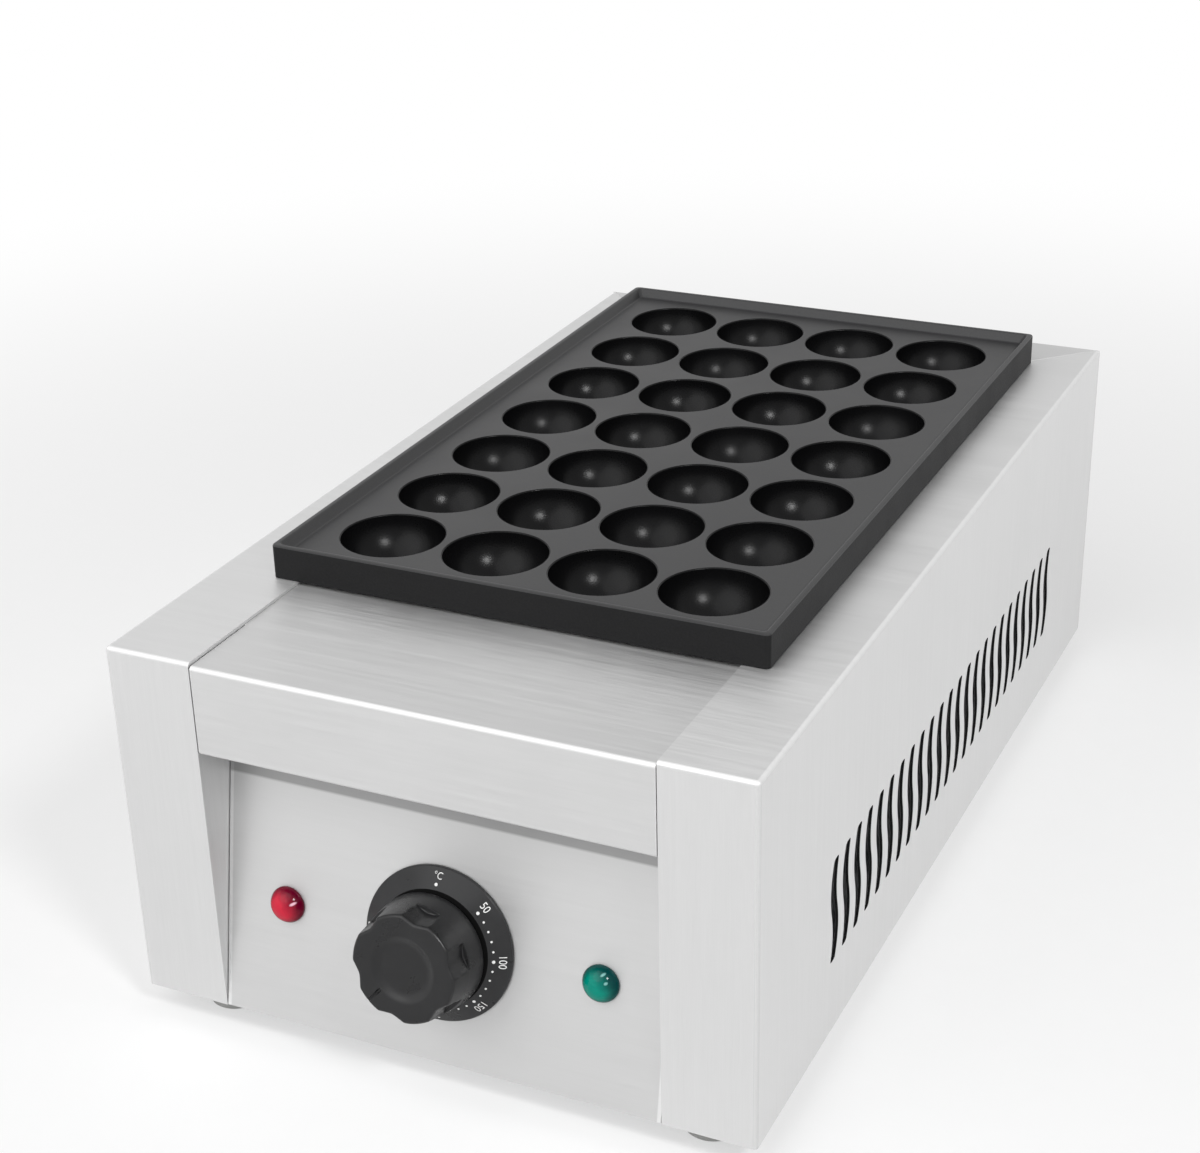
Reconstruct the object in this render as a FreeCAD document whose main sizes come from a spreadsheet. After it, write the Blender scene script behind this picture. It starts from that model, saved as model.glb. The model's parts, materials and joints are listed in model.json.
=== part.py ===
import FreeCAD
import Part
import Sketcher
import math
import operator
import os

# Countertop takoyaki maker: a cast plate of round cups over tubular heaters, in a folded sheet
# housing with a sloping control panel. Millimetres, +Z up, front towards -Y, and the origin on the
# standing surface below the centre of the housing.

Vector = FreeCAD.Vector

# ---------------------------------------------------------------- driving sizes

SIZES = {
    # housing
    "body_width": 250.0,
    "body_depth": 435.0,
    "body_height": 145.0,
    "sheet_wall": 1.2,
    "fold_radius": 1.5,
    "sheet_gap": 0.3,
    "strip_width": 35.5,
    "strip_lap": 10.0,
    "lap_gap": 0.05,
    "fascia_height": 36.5,
    "hood_tab": 10.0,
    "hood_ear": 20.0,
    "pillar_return": 36.0,
    "inner_flange": 9.0,
    "panel_tilt": 10.8,
    "panel_over": 1.5,
    "panel_flange": 12.0,
    # wavy air slots of each side wall
    "vent_count": 24.0,
    "vent_pitch": 12.4,
    "vent_height": 42.5,
    "vent_sill": 31.2,
    "vent_shift": 1.0,
    "vent_lean": 2.2,
    "vent_sway": 1.9,
    "vent_mid_width": 5.4,
    "vent_end_width": 2.4,
    # cast plate
    "strip_rest": 10.5,
    "deck_length": 72.5,
    "plate_height": 13.5,
    "plate_rear_gap": 27.5,
    "plate_corner": 2.0,
    "rim_depth": 3.8,
    "rim_top": 2.3,
    "rim_draft": 32.0,
    "plate_skirt": 7.0,
    "plate_floor": 5.0,
    "cup_radius": 20.0,
    "column_clear": 1.5,
    "end_clear": 2.5,
    "cup_columns": 4.0,
    "cup_rows": 7.0,
    "cup_floor_radius": 1.5,
    "groove_height": 17.5,
    "groove_draft": 19.5,
    "boss_radius": 5.5,
    "boss_height": 9.0,
    # heaters and what holds them up against the cups
    "tube_radius": 4.0,
    "tube_clear": 0.45,
    "tube_rise": 6.9,
    "tube_front": 27.0,
    "pin_radius": 1.6,
    "pin_length": 9.0,
    "bar_width": 12.0,
    "bar_wall": 3.0,
    "bar_over": 8.0,
    "stud_radius": 3.0,
    "stud_length": 44.0,
    "nut_width": 10.0,
    "nut_height": 5.0,
    "tray_wall": 1.0,
    "tray_clear": 6.0,
    "tray_depth": 27.0,
    "tray_flange": 12.0,
    "tray_inset": 8.0,
    "bracket_ahead": 16.0,
    "bracket_lap": 20.0,
    # thermostat, dial and knob, measured up the panel and out from its face
    "dial_height": 47.4,
    "dial_radius": 29.6,
    "dial_rim": 1.6,
    "dial_crest_radius": 20.6,
    "dial_crest": 6.6,
    "dial_web": 2.0,
    "dial_hole": 8.0,
    "dial_wall": 1.5,
    "knob_face": 27.3,
    "knob_face_radius": 20.3,
    "knob_skirt_radius": 22.0,
    "knob_skirt_low": 8.3,
    "knob_skirt_top": 11.0,
    "knob_edge": 1.0,
    "knob_lobes": 6.0,
    "knob_groove_radius": 18.3,
    "knob_groove_half": 5.3,
    "knob_groove_reach": 1.3,
    "knob_groove_end": 17.5,
    "knob_groove_draft": 5.0,
    "knob_cavity_radius": 15.5,
    "knob_cavity_roof": 22.0,
    "knob_hub_radius": 6.5,
    "knob_hub_low": 3.2,
    "dish_radius": 12.0,
    "dish_depth": 1.4,
    "pointer_angle": -132.0,
    "pointer_width": 1.6,
    "pointer_depth": 0.9,
    "spindle_radius": 3.0,
    "spindle_flat": 1.8,
    "spindle_top": 19.0,
    "spindle_low": -14.0,
    "turn_gap": 0.05,
    "spindle_hole": 6.0,
    "bushing_radius": 5.4,
    "bushing_top": 1.4,
    "thermostat_width": 23.0,
    "thermostat_tall": 44.0,
    "thermostat_deep": 26.0,
    "thermostat_corner": 4.0,
    "bracket_wall": 1.5,
    "bracket_span": 42.0,
    "dial_screw_offset": 14.0,
    "sensor_radius": 3.0,
    "sensor_length": 72.0,
    "sensor_rise": 9.7,
    "sensor_ahead": 7.5,
    "clip_wall": 0.8,
    "clip_width": 10.0,
    "clip_wing": 7.0,
    "capillary_radius": 0.8,
    "capillary_bend": 14.0,
    # signal lamps
    "lamp_offset": 63.5,
    "lens_radius": 7.0,
    "lens_wall": 1.2,
    "lens_shoulder": 0.8,
    "lens_height": 5.6,
    "lamp_radius": 5.6,
    "lamp_depth": 18.0,
    "lamp_front": 1.2,
    "lamp_nut_radius": 9.0,
    "lamp_nut_height": 3.0,
    # rubber feet
    "foot_height": 12.0,
    "foot_radius": 12.0,
    "foot_taper": 1.0,
    "foot_clear_x": 4.0,
    "foot_clear_y": 1.0,
    "foot_screw_recess": 4.0,
    # mains entry, earth stud and terminal block
    "gland_x": 70.0,
    "gland_z": 51.0,
    "gland_bore": 4.5,
    "gland_thread_radius": 8.0,
    "gland_thread_length": 12.0,
    "gland_hex_width": 22.0,
    "gland_hex_height": 5.0,
    "gland_reach": 21.7,
    "gland_nut_height": 5.0,
    "earth_x": -92.0,
    "earth_z": 37.0,
    "earth_radius": 2.5,
    "earth_length": 24.0,
    "earth_reach": 12.0,
    "earth_nut_width": 8.0,
    "earth_nut_height": 4.0,
    "block_x": 30.0,
    "block_y": 150.0,
    "block_length": 46.0,
    "block_width": 20.0,
    "block_height": 17.0,
    # screws
    "screw_radius": 2.0,
    "screw_length": 8.0,
    "screw_head_radius": 3.8,
    "screw_head_height": 2.2,
    "screw_gap": 0.1,
}


class Size:
    # A value together with the sheet formula that gives it.
    def __init__(self, value, formula):
        self.value = value
        self.formula = formula

    def join(self, sign, other, swapped=False):
        other = as_size(other)
        first, second = (other, self) if swapped else (self, other)
        work = {"+": operator.add, "-": operator.sub, "*": operator.mul, "/": operator.truediv}
        formula = "(" + first.formula + " " + sign + " " + second.formula + ")"
        return Size(work[sign](first.value, second.value), formula)

    def __add__(self, other):
        return self.join("+", other)

    def __sub__(self, other):
        return self.join("-", other)

    def __mul__(self, other):
        return self.join("*", other)

    def __truediv__(self, other):
        return self.join("/", other)

    def __radd__(self, other):
        return self.join("+", other, True)

    def __rsub__(self, other):
        return self.join("-", other, True)

    def __rmul__(self, other):
        return self.join("*", other, True)

    def __neg__(self):
        return self.join("*", -1)


def as_size(number):
    if isinstance(number, Size):
        return number
    return Size(float(number), "(" + repr(float(number)) + ")")


def sine(angle):
    return Size(math.sin(math.radians(angle.value)), "sin(" + angle.formula + ")")


def cosine(angle):
    return Size(math.cos(math.radians(angle.value)), "cos(" + angle.formula + ")")


def root(area):
    return Size(math.sqrt(area.value), "sqrt(" + area.formula + ")")


def half(size):
    return size / 2


doc = FreeCAD.newDocument("TakoyakiMaker")
sheet = doc.addObject("Spreadsheet::Sheet", "Sizes")
for row, (alias, number) in enumerate(SIZES.items(), start=1):
    sheet.set("A%d" % row, alias)
    sheet.set("B%d" % row, str(number))
    sheet.setAlias("B%d" % row, alias)
doc.recompute()


def cell(alias):
    return Size(float(sheet.get(alias)), "Sizes." + alias)


# ---------------------------------------------------------------- sizes worked out from the sheet

wall = cell("sheet_wall")
gap = cell("sheet_gap")
half_width = half(cell("body_width"))
rear = half(cell("body_depth"))
front = -rear
bottom = cell("foot_height")
top = bottom + cell("body_height")
strip_edge = half_width - cell("strip_width")
between = strip_edge - gap
deck_top = top - wall - cell("lap_gap")
fascia_bottom = top - cell("fascia_height")
flange_edge = half_width - cell("inner_flange")
base_top = bottom + wall * 2

plate_half_x = strip_edge + cell("strip_rest")
plate_half_y = half(cell("body_depth") - cell("deck_length") - cell("plate_rear_gap"))
plate_y = rear - cell("plate_rear_gap") - plate_half_y
plate_front = plate_y - plate_half_y
rim_z = top + cell("plate_height")
floor_z = rim_z - cell("rim_depth")
floor_under = floor_z - cell("plate_floor")
pitch_x = (strip_edge - cell("column_clear")) * 2 / cell("cup_columns")
cup_reach_x = pitch_x * (cell("cup_columns") - 1) / 2
strip_end = rear - cell("strip_width")
cup_reach_y = strip_end - plate_y - half(pitch_x) - cell("end_clear")
pitch_y = cup_reach_y * 2 / (cell("cup_rows") - 1)
boss_rows = [-1.5, 1.5]

tube_z = deck_top - wall - cell("tube_clear") - cell("tube_radius")
web_low = tube_z - cell("tube_rise")
groove_cosine = cosine(cell("groove_draft"))
groove_slope = sine(cell("groove_draft")) / groove_cosine
groove_mouth = (cell("tube_radius") + gap) / groove_cosine + cell("tube_rise") * groove_slope
groove_crest = groove_mouth - cell("groove_height") * groove_slope
bar_z = tube_z - cell("tube_radius") - cell("bar_wall")
tray_top = top - wall
tray_bottom = tray_top - cell("tray_depth")
tray_floor = tray_bottom + cell("tray_wall")
bracket_y = plate_front - cell("bracket_ahead")
tray_reach = plate_half_y - cell("tray_inset")
tray_half = pitch_x * 2 + cell("tube_radius") + cell("tray_clear")
sensor_z = web_low + cell("sensor_rise")
sensor_tail = plate_y + pitch_y * boss_rows[0] - cell("sensor_ahead")
sensor_tip = sensor_tail - cell("sensor_length")

tilt = cell("panel_tilt")
tilt_sine = sine(tilt)
tilt_cosine = cosine(tilt)
panel_length = (fascia_bottom - bottom) / tilt_cosine + cell("hood_tab") + cell("panel_over")
screw_hole = cell("screw_radius") + cell("screw_gap")

nodes = {}


# ---------------------------------------------------------------- helpers


def bind(item, name, size):
    item.setExpression(name, as_size(size).formula)


def place(item, x=0, y=0, z=0):
    for axis, size in zip("xyz", (x, y, z)):
        bind(item, "Placement.Base." + axis, size)


def turn(item, axis, angle):
    item.Placement = FreeCAD.Placement(Vector(), FreeCAD.Rotation(axis, as_size(angle).value))
    bind(item, "Placement.Rotation.Angle", angle)


def on_panel(item, x=0, up=0, out=0):
    # local X stays across, local Y runs up the sloping panel and local Z points out of its face
    turn(item, Vector(1, 0, 0), 90 - tilt)
    up = as_size(up)
    out = as_size(out)
    place(
        item,
        x,
        front + up * tilt_sine - out * tilt_cosine,
        bottom + up * tilt_cosine + out * tilt_sine,
    )


def new_body(label):
    body = doc.addObject("PartDesign::Body", label)
    body.Label = label
    nodes[label] = body
    return body


def new_sketch(body, role, lift=0, angle=0, shift=(0, 0)):
    plane = [item for item in body.Origin.OriginFeatures if item.Role == role][0]
    sketch = body.newObject("Sketcher::SketchObject", body.Label + "_sketch")
    sketch.AttachmentSupport = (plane, [""])
    sketch.MapMode = "FlatFace"
    turned = FreeCAD.Rotation(Vector(0, 0, 1), as_size(angle).value)
    offset = [as_size(size).value for size in (*shift, lift)]
    sketch.AttachmentOffset = FreeCAD.Placement(Vector(*offset), turned)
    for axis, size in zip("xyz", (*shift, lift)):
        bind(sketch, "AttachmentOffset.Base." + axis, size)
    if as_size(angle).value:
        bind(sketch, "AttachmentOffset.Rotation.Angle", angle)
    return sketch


def hold(sketch, curve, end, x, y):
    # fixes one point of a curve, on an axis where its distance is nothing
    for kind, axis, size in (("DistanceX", -2, as_size(x)), ("DistanceY", -1, as_size(y))):
        if abs(size.value) < 1e-9:
            sketch.addConstraint(Sketcher.Constraint("PointOnObject", curve, end, axis))
        else:
            index = sketch.addConstraint(
                Sketcher.Constraint(kind, -1, 1, curve, end, size.value)
            )
            bind(sketch, "Constraints[%d]" % index, size)


def outline(sketch, corners, closed=True):
    # A run of lines and arcs. A corner is (x, y), or (x, y, through) where an arc leaves it and
    # passes through a point.
    spots = [Vector(as_size(c[0]).value, as_size(c[1]).value, 0) for c in corners]
    count = len(corners) if closed else len(corners) - 1
    curves = []
    for number in range(count):
        start, end = spots[number], spots[(number + 1) % len(spots)]
        if len(corners[number]) == 3:
            through = [as_size(size).value for size in corners[number][2]]
            curve = Part.Arc(start, Vector(*through, 0), end)
        else:
            curve = Part.LineSegment(start, end)
        curves.append(sketch.addGeometry(curve, False))
    # an arc keeps its own direction, so its ends are matched by place
    ends = [curve_ends(sketch, curve, spots[number]) for number, curve in enumerate(curves)]
    for number in range(0 if closed else 1, count):
        sketch.addConstraint(
            Sketcher.Constraint(
                "Coincident",
                curves[number - 1],
                ends[number - 1][1],
                curves[number],
                ends[number][0],
            )
        )
    for number in range(count):
        hold(sketch, curves[number], ends[number][0], *corners[number][:2])
        if len(corners[number]) == 3:
            middle = [as_size(size).value for size in corners[number][2]]
            mark = sketch.addGeometry(Part.Point(Vector(*middle, 0)), True)
            hold(sketch, mark, 1, *corners[number][2])
            sketch.addConstraint(Sketcher.Constraint("PointOnObject", mark, 1, curves[number]))
    if not closed:
        hold(sketch, curves[-1], ends[-1][1], *corners[-1][:2])
    return sketch


def curve_ends(sketch, curve, start):
    nearest = (sketch.getPoint(curve, 1) - start).Length < (sketch.getPoint(curve, 2) - start).Length
    return (1, 2) if nearest else (2, 1)


def rectangle(sketch, x0, y0, x1, y1):
    return outline(sketch, [(x0, y0), (x1, y0), (x1, y1), (x0, y1)])


def disc(sketch, radius, x=0, y=0):
    middle = Vector(as_size(x).value, as_size(y).value, 0)
    index = sketch.addGeometry(Part.Circle(middle, Vector(0, 0, 1), as_size(radius).value), False)
    hold(sketch, index, 3, x, y)
    number = sketch.addConstraint(Sketcher.Constraint("Radius", index, as_size(radius).value))
    bind(sketch, "Constraints[%d]" % number, radius)
    return sketch


def hexagon(sketch, width, x=0, y=0):
    reach = half(width) / cosine(as_size(30))
    corners = []
    for number in range(6):
        angle = as_size(60.0 * number)
        corners.append((as_size(x) + reach * cosine(angle), as_size(y) + reach * sine(angle)))
    return outline(sketch, corners)


def volume(body):
    doc.recompute()
    return body.Shape.Volume


def pad(body, sketch, length, backwards=False, both=False):
    feature = body.newObject("PartDesign::Pad", body.Label + "_pad")
    feature.Profile = sketch
    bind(feature, "Length", length)
    feature.Reversed = backwards
    feature.Midplane = both
    doc.recompute()
    return feature


def must_shrink(body, before, feature):
    if not volume(body) < before - 1e-6:
        raise RuntimeError(feature.Name + " cuts nothing")


def pocket(body, sketch, length, backwards=False, both=False, draft=None):
    before = volume(body)
    feature = body.newObject("PartDesign::Pocket", body.Label + "_pocket")
    feature.Profile = sketch
    bind(feature, "Length", length)
    feature.Reversed = backwards
    feature.Midplane = both
    if draft is not None:
        bind(feature, "TaperAngle", draft)
    must_shrink(body, before, feature)
    return feature


def spin(body, sketch):
    feature = body.newObject("PartDesign::Revolution", body.Label + "_turned")
    feature.Profile = sketch
    feature.ReferenceAxis = (sketch, ["V_Axis"])
    feature.Angle = 360
    doc.recompute()
    return feature


def groove(body, sketch):
    before = volume(body)
    feature = body.newObject("PartDesign::Groove", body.Label + "_groove")
    feature.Profile = sketch
    feature.ReferenceAxis = (sketch, ["V_Axis"])
    feature.Angle = 360
    must_shrink(body, before, feature)
    return feature


def row_of(body, feature, role, pitch, count, backwards=False):
    axis = [item for item in body.Origin.OriginFeatures if item.Role == role][0]
    pattern = body.newObject("PartDesign::LinearPattern", feature.Name + "_row")
    pattern.Originals = [feature]
    pattern.Direction = (axis, [""])
    pattern.Reversed = backwards
    bind(pattern, "Length", pitch * (count - 1))
    bind(pattern, "Occurrences", count)
    body.Tip = pattern
    doc.recompute()
    return pattern


def grid_of(body, feature, counts):
    # repeats one cup over the grid, across and then along
    several = body.newObject("PartDesign::MultiTransform", feature.Name + "_grid")
    several.Originals = [feature]
    rows = []
    for role, (pitch, count) in zip(("X_Axis", "Y_Axis"), counts):
        axis = [item for item in body.Origin.OriginFeatures if item.Role == role][0]
        pattern = doc.addObject("PartDesign::LinearPattern", feature.Name + "_row")
        body.addObject(pattern)
        pattern.Direction = (axis, [""])
        bind(pattern, "Length", pitch * (count - 1))
        bind(pattern, "Occurrences", count)
        rows.append(pattern)
    several.Transformations = rows
    body.Tip = several
    doc.recompute()
    return several


def ring_of(body, feature, count):
    axis = [item for item in body.Origin.OriginFeatures if item.Role == "Z_Axis"][0]
    pattern = body.newObject("PartDesign::PolarPattern", feature.Name + "_ring")
    pattern.Originals = [feature]
    pattern.Axis = (axis, [""])
    pattern.Angle = 360
    bind(pattern, "Occurrences", count)
    body.Tip = pattern
    doc.recompute()
    return pattern


def rounded(body, radius, wanted):
    # rounds the edges whose middle and direction satisfy the test
    doc.recompute()
    tip = body.Tip
    names = []
    for number, edge in enumerate(tip.Shape.Edges, start=1):
        if edge.Curve.TypeId != "Part::GeomLine":
            continue
        middle = edge.valueAt((edge.FirstParameter + edge.LastParameter) / 2)
        along = edge.tangentAt(edge.FirstParameter)
        if wanted(middle, along):
            names.append("Edge%d" % number)
    if not names:
        raise RuntimeError("no edge to round on " + body.Label)
    feature = body.newObject("PartDesign::Fillet", body.Label + "_round")
    feature.Base = (tip, names)
    bind(feature, "Radius", radius)
    doc.recompute()
    return feature


def near(number, size):
    return abs(number - as_size(size).value) < 0.01


def group(label, solids):
    # identical small pieces, each a solid of its own
    item = doc.addObject("Part::Feature", label)
    item.Label = label
    item.Shape = Part.makeCompound(solids)
    item.Placement = FreeCAD.Placement()
    nodes[label] = item
    return item


def pose(x, y, z, axis=Vector(0, 0, 1)):
    numbers = [as_size(size).value for size in (x, y, z)]
    return FreeCAD.Placement(Vector(*numbers), FreeCAD.Rotation(Vector(0, 0, 1), axis))


def moved(solid, placement):
    copy = solid.copy()
    copy.Placement = placement.multiply(copy.Placement)
    return copy


def screw(length):
    # plain head at local Z = 0 and up, shank below it
    length = as_size(length).value
    head = Part.makeCone(
        cell("screw_head_radius").value,
        cell("screw_head_radius").value * 0.7,
        cell("screw_head_height").value,
    )
    shank = Part.makeCylinder(cell("screw_radius").value, length, Vector(0, 0, -length))
    return head.fuse(shank).removeSplitter().Solids[0]


def hex_nut(width, height, bore):
    reach = width / 2 / math.cos(math.radians(30))
    corners = [
        Vector(reach * math.cos(math.radians(a)), reach * math.sin(math.radians(a)), 0)
        for a in range(0, 361, 60)
    ]
    solid = Part.Face(Part.makePolygon(corners)).extrude(Vector(0, 0, height))
    return solid.cut(Part.makeCylinder(bore, height)).Solids[0]


# ---------------------------------------------------------------- housing sheets


def side_panel(label, side):
    # outer wall, top strip and front pillar of one side, folded from one sheet
    body = new_body(label)
    outer = side * half_width
    channel = [
        (side * strip_edge, top),
        (outer, top),
        (outer, bottom),
        (side * flange_edge, bottom),
        (side * flange_edge, bottom + wall),
        (side * (half_width - wall), bottom + wall),
        (side * (half_width - wall), top - wall),
        (side * strip_edge, top - wall),
    ]
    pad(body, outline(new_sketch(body, "XZ_Plane", rear), channel), rear * 2 - wall, True)
    pillar = rectangle(new_sketch(body, "XZ_Plane", rear), side * strip_edge, bottom, outer, top)
    pad(body, pillar, wall, True)
    inward = rectangle(
        new_sketch(body, "XZ_Plane", rear),
        side * strip_edge,
        base_top + gap,
        side * (strip_edge + wall),
        top,
    )
    pad(body, inward, cell("pillar_return"), True)
    behind = rectangle(
        new_sketch(body, "XZ_Plane", -(rear - wall)),
        side * flange_edge,
        bottom,
        outer,
        top - wall,
    )
    pad(body, behind, wall)
    cut_mitre(body, side)
    rounded(
        body,
        cell("fold_radius"),
        lambda middle, along: outer_fold(middle, along, outer.value),
    )
    cut_vents(body, side)
    return body


def outer_fold(middle, along, outer):
    long_top = near(middle.x, outer) and near(middle.z, top) and abs(along.y) > 0.9
    upright = near(middle.x, outer) and near(middle.y, front) and abs(along.z) > 0.9
    across = near(middle.y, front) and near(middle.z, top) and abs(along.x) > 0.9
    return long_top or upright or across


def cut_mitre(body, side):
    # the top strip ends on a 45 degree line that meets the rear panel's own strip
    reach = cell("strip_width") + 2
    corner = side * (half_width - wall)
    mitre = outline(
        new_sketch(body, "XY_Plane", top + 1),
        [
            (corner, rear - wall - gap),
            (side * (half_width - reach), rear - reach - gap),
            (side * (half_width - reach), rear + 1),
            (corner, rear + 1),
        ],
    )
    pocket(body, mitre, wall + 1)


def cut_vents(body, side):
    # one wavy slot, wide in its middle and narrow at its ends, repeated along the wall
    middle_y = cell("vent_shift") - cell("vent_pitch") * (cell("vent_count") - 1) / 2
    middle_z = bottom + cell("vent_sill") + half(cell("vent_height"))
    rise = half(cell("vent_height"))
    lean = half(cell("vent_lean"))
    broad = half(cell("vent_mid_width"))
    narrow = half(cell("vent_end_width"))
    quarter = half(broad + narrow)
    sway = cell("vent_sway")
    high = (middle_y + half(lean) - sway, middle_z + half(rise))
    low = (middle_y - half(lean) + sway, middle_z - half(rise))
    slot = [
        (middle_y + lean - narrow, middle_z + rise, (high[0] - quarter, high[1])),
        (middle_y - broad, middle_z, (low[0] - quarter, low[1])),
        (middle_y - lean - narrow, middle_z - rise),
        (middle_y - lean + narrow, middle_z - rise, (low[0] + quarter, low[1])),
        (middle_y + broad, middle_z, (high[0] + quarter, high[1])),
        (middle_y + lean + narrow, middle_z + rise),
    ]
    sketch = outline(new_sketch(body, "YZ_Plane", side * (half_width + 1)), slot)
    cut = pocket(body, sketch, wall + 2, side < 0)
    row_of(body, cut, "Y_Axis", cell("vent_pitch"), cell("vent_count"))


def rear_panel():
    body = new_body("rear_panel")
    back = rectangle(
        new_sketch(body, "XZ_Plane", -rear), -half_width, bottom, half_width, top
    )
    pad(body, back, wall)
    strip = outline(
        new_sketch(body, "XY_Plane", top),
        [
            (half_width, rear),
            (strip_edge, rear - cell("strip_width")),
            (-strip_edge, rear - cell("strip_width")),
            (-half_width, rear),
        ],
    )
    pad(body, strip, wall, True)
    inner_x = flange_edge - gap
    sill = rectangle(
        new_sketch(body, "XY_Plane", bottom),
        -inner_x,
        rear - cell("inner_flange"),
        inner_x,
        rear,
    )
    pad(body, sill, wall)
    rounded(
        body,
        cell("fold_radius"),
        lambda middle, along: near(middle.y, rear) and near(middle.z, top) and abs(along.x) > 0.9,
    )
    back_hole(body, cell("gland_thread_radius") + gap, cell("gland_x"), cell("gland_z"))
    back_hole(body, cell("earth_radius") + gap, cell("earth_x"), cell("earth_z"))
    return body


def back_hole(body, radius, x, z):
    hole = disc(new_sketch(body, "XZ_Plane", -(rear - wall - 1)), radius, x, z)
    pocket(body, hole, wall + 2)


def slope_size(depth, height):
    # the place up and out of the sloping panel of a point given by its depth behind the front and
    # its height above the housing's underside
    depth = as_size(depth)
    height = as_size(height)
    return depth * tilt_sine + height * tilt_cosine, height * tilt_sine - depth * tilt_cosine


def slope_point(up, out):
    # the reverse: world Y and Z of a point of the panel's own section
    up = as_size(up)
    out = as_size(out)
    return front + up * tilt_sine - out * tilt_cosine, bottom + up * tilt_cosine + out * tilt_sine


def hood():
    # deck, fascia and a lip that turns back below it and lies against the sloping panel
    body = new_body("hood")
    deck_end = plate_front + cell("plate_skirt") - 1
    lap = cell("lap_gap")
    rise = fascia_bottom - bottom
    back_up = (rise - lap * tilt_sine) / tilt_cosine
    face_up = (rise + wall - (lap + wall) * tilt_sine) / tilt_cosine
    section = [
        (deck_end, deck_top),
        (front, deck_top),
        (front, fascia_bottom),
        slope_point(back_up, lap),
        slope_point(back_up + cell("hood_tab"), lap),
        slope_point(back_up + cell("hood_tab"), lap + wall),
        slope_point(face_up, lap + wall),
        (front + wall, fascia_bottom + wall),
        (front + wall, deck_top - wall),
        (deck_end, deck_top - wall),
    ]
    pad(body, outline(new_sketch(body, "YZ_Plane"), section), between * 2, both=True)
    for side in (-1, 1):
        ear = rectangle(
            new_sketch(body, "YZ_Plane", side * (between - wall)),
            front + wall,
            deck_top - cell("hood_ear"),
            front + cell("pillar_return") - wall,
            deck_top - wall,
        )
        pad(body, ear, wall, side < 0)
        wing = rectangle(
            new_sketch(body, "XY_Plane", deck_top),
            side * (between - 1),
            front + cell("pillar_return") + gap,
            side * (strip_edge + cell("strip_lap")),
            deck_end,
        )
        pad(body, wing, wall, True)
    rounded(
        body,
        cell("fold_radius"),
        lambda middle, along: near(middle.y, front) and abs(along.x) > 0.9,
    )
    return body


def control_panel():
    # sloping sheet with its spindle and lamp holes, a flange down each side and a foot turned back
    body = new_body("control_panel")
    plate = rectangle(new_sketch(body, "XY_Plane"), -between, gap, between, panel_length)
    pad(body, plate, wall, True)
    low = [slope_size(wall * 0.6, 0), slope_size(cell("panel_flange"), 0)]
    high = [slope_size(cell("panel_flange"), wall), slope_size(wall * 0.6, wall)]
    pad(body, outline(new_sketch(body, "YZ_Plane"), low + high), between * 2, both=True)
    for side in (-1, 1):
        flange = rectangle(
            new_sketch(body, "YZ_Plane", side * (between - wall)),
            cell("panel_flange"),
            -wall - cell("panel_flange"),
            panel_length - wall * 3,
            -half(wall),
        )
        pad(body, flange, wall, side < 0)
    spindle_hole = disc(new_sketch(body, "XY_Plane", 1), cell("spindle_hole"), 0, cell("dial_height"))
    pocket(body, spindle_hole, wall + 2)
    for side in (-1, 1):
        lamp = new_sketch(body, "XY_Plane", 1)
        disc(lamp, cell("lamp_radius") + gap, side * cell("lamp_offset"), cell("dial_height"))
        pocket(body, lamp, wall + 2)
        fixing = new_sketch(body, "XY_Plane", 1)
        disc(fixing, screw_hole, side * cell("dial_screw_offset"), cell("dial_height"))
        pocket(body, fixing, wall + 2)
    on_panel(body)
    return body


def base_plate():
    body = new_body("base_plate")
    edge = half_width - wall - gap
    plate = rectangle(
        new_sketch(body, "XY_Plane", bottom + wall),
        -edge,
        front + wall * 2.5,
        edge,
        rear - wall * 2 - gap,
    )
    pad(body, plate, wall)
    for x, y in foot_places():
        hole = disc(new_sketch(body, "XY_Plane", bottom), screw_hole, x, y)
        pocket(body, hole, wall * 3, True)
    return body


def foot_places():
    x = flange_edge - cell("foot_radius") - cell("foot_clear_x")
    y = rear - cell("inner_flange") - cell("foot_radius") - cell("foot_clear_y")
    return [(-x, -y), (x, -y), (-x, y), (x, y)]


# ---------------------------------------------------------------- cast plate and heaters


def cooking_plate():
    # cast plate: raised rim, floor with cups, bulges and stud bosses below, hollow skirt
    body = new_body("cooking_plate")
    half_x = plate_half_x
    half_y = plate_half_y
    pad(body, rectangle(new_sketch(body, "XY_Plane"), -half_x, -half_y, half_x, half_y), rim_z - top)
    rounded(body, cell("plate_corner"), lambda middle, along: abs(along.z) > 0.9)
    rim = cell("rim_top")
    tray = rectangle(
        new_sketch(body, "XY_Plane", rim_z - top), rim - half_x, rim - half_y, half_x - rim, half_y - rim
    )
    pocket(body, tray, cell("rim_depth"), draft=-cell("rim_draft"))
    skirt = cell("plate_skirt")
    under = rectangle(
        new_sketch(body, "XY_Plane"), skirt - half_x, skirt - half_y, half_x - skirt, half_y - skirt
    )
    pocket(body, under, floor_under - top, True)
    grooved_underside(body, floor_z - top)
    level = floor_z - top
    cut_cups(body, level)
    for row in boss_rows:
        boss = disc(
            new_sketch(body, "XY_Plane", floor_under - top + 1),
            cell("boss_radius"),
            0,
            pitch_y * row,
        )
        pad(body, boss, cell("boss_height") + 1, True)
        thread = disc(
            new_sketch(body, "XY_Plane", floor_under - top - cell("boss_height") - 1),
            cell("stud_radius"),
            0,
            pitch_y * row,
        )
        pocket(body, thread, cell("boss_height"), True)
    place(body, 0, plate_y, top)
    return body


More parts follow.
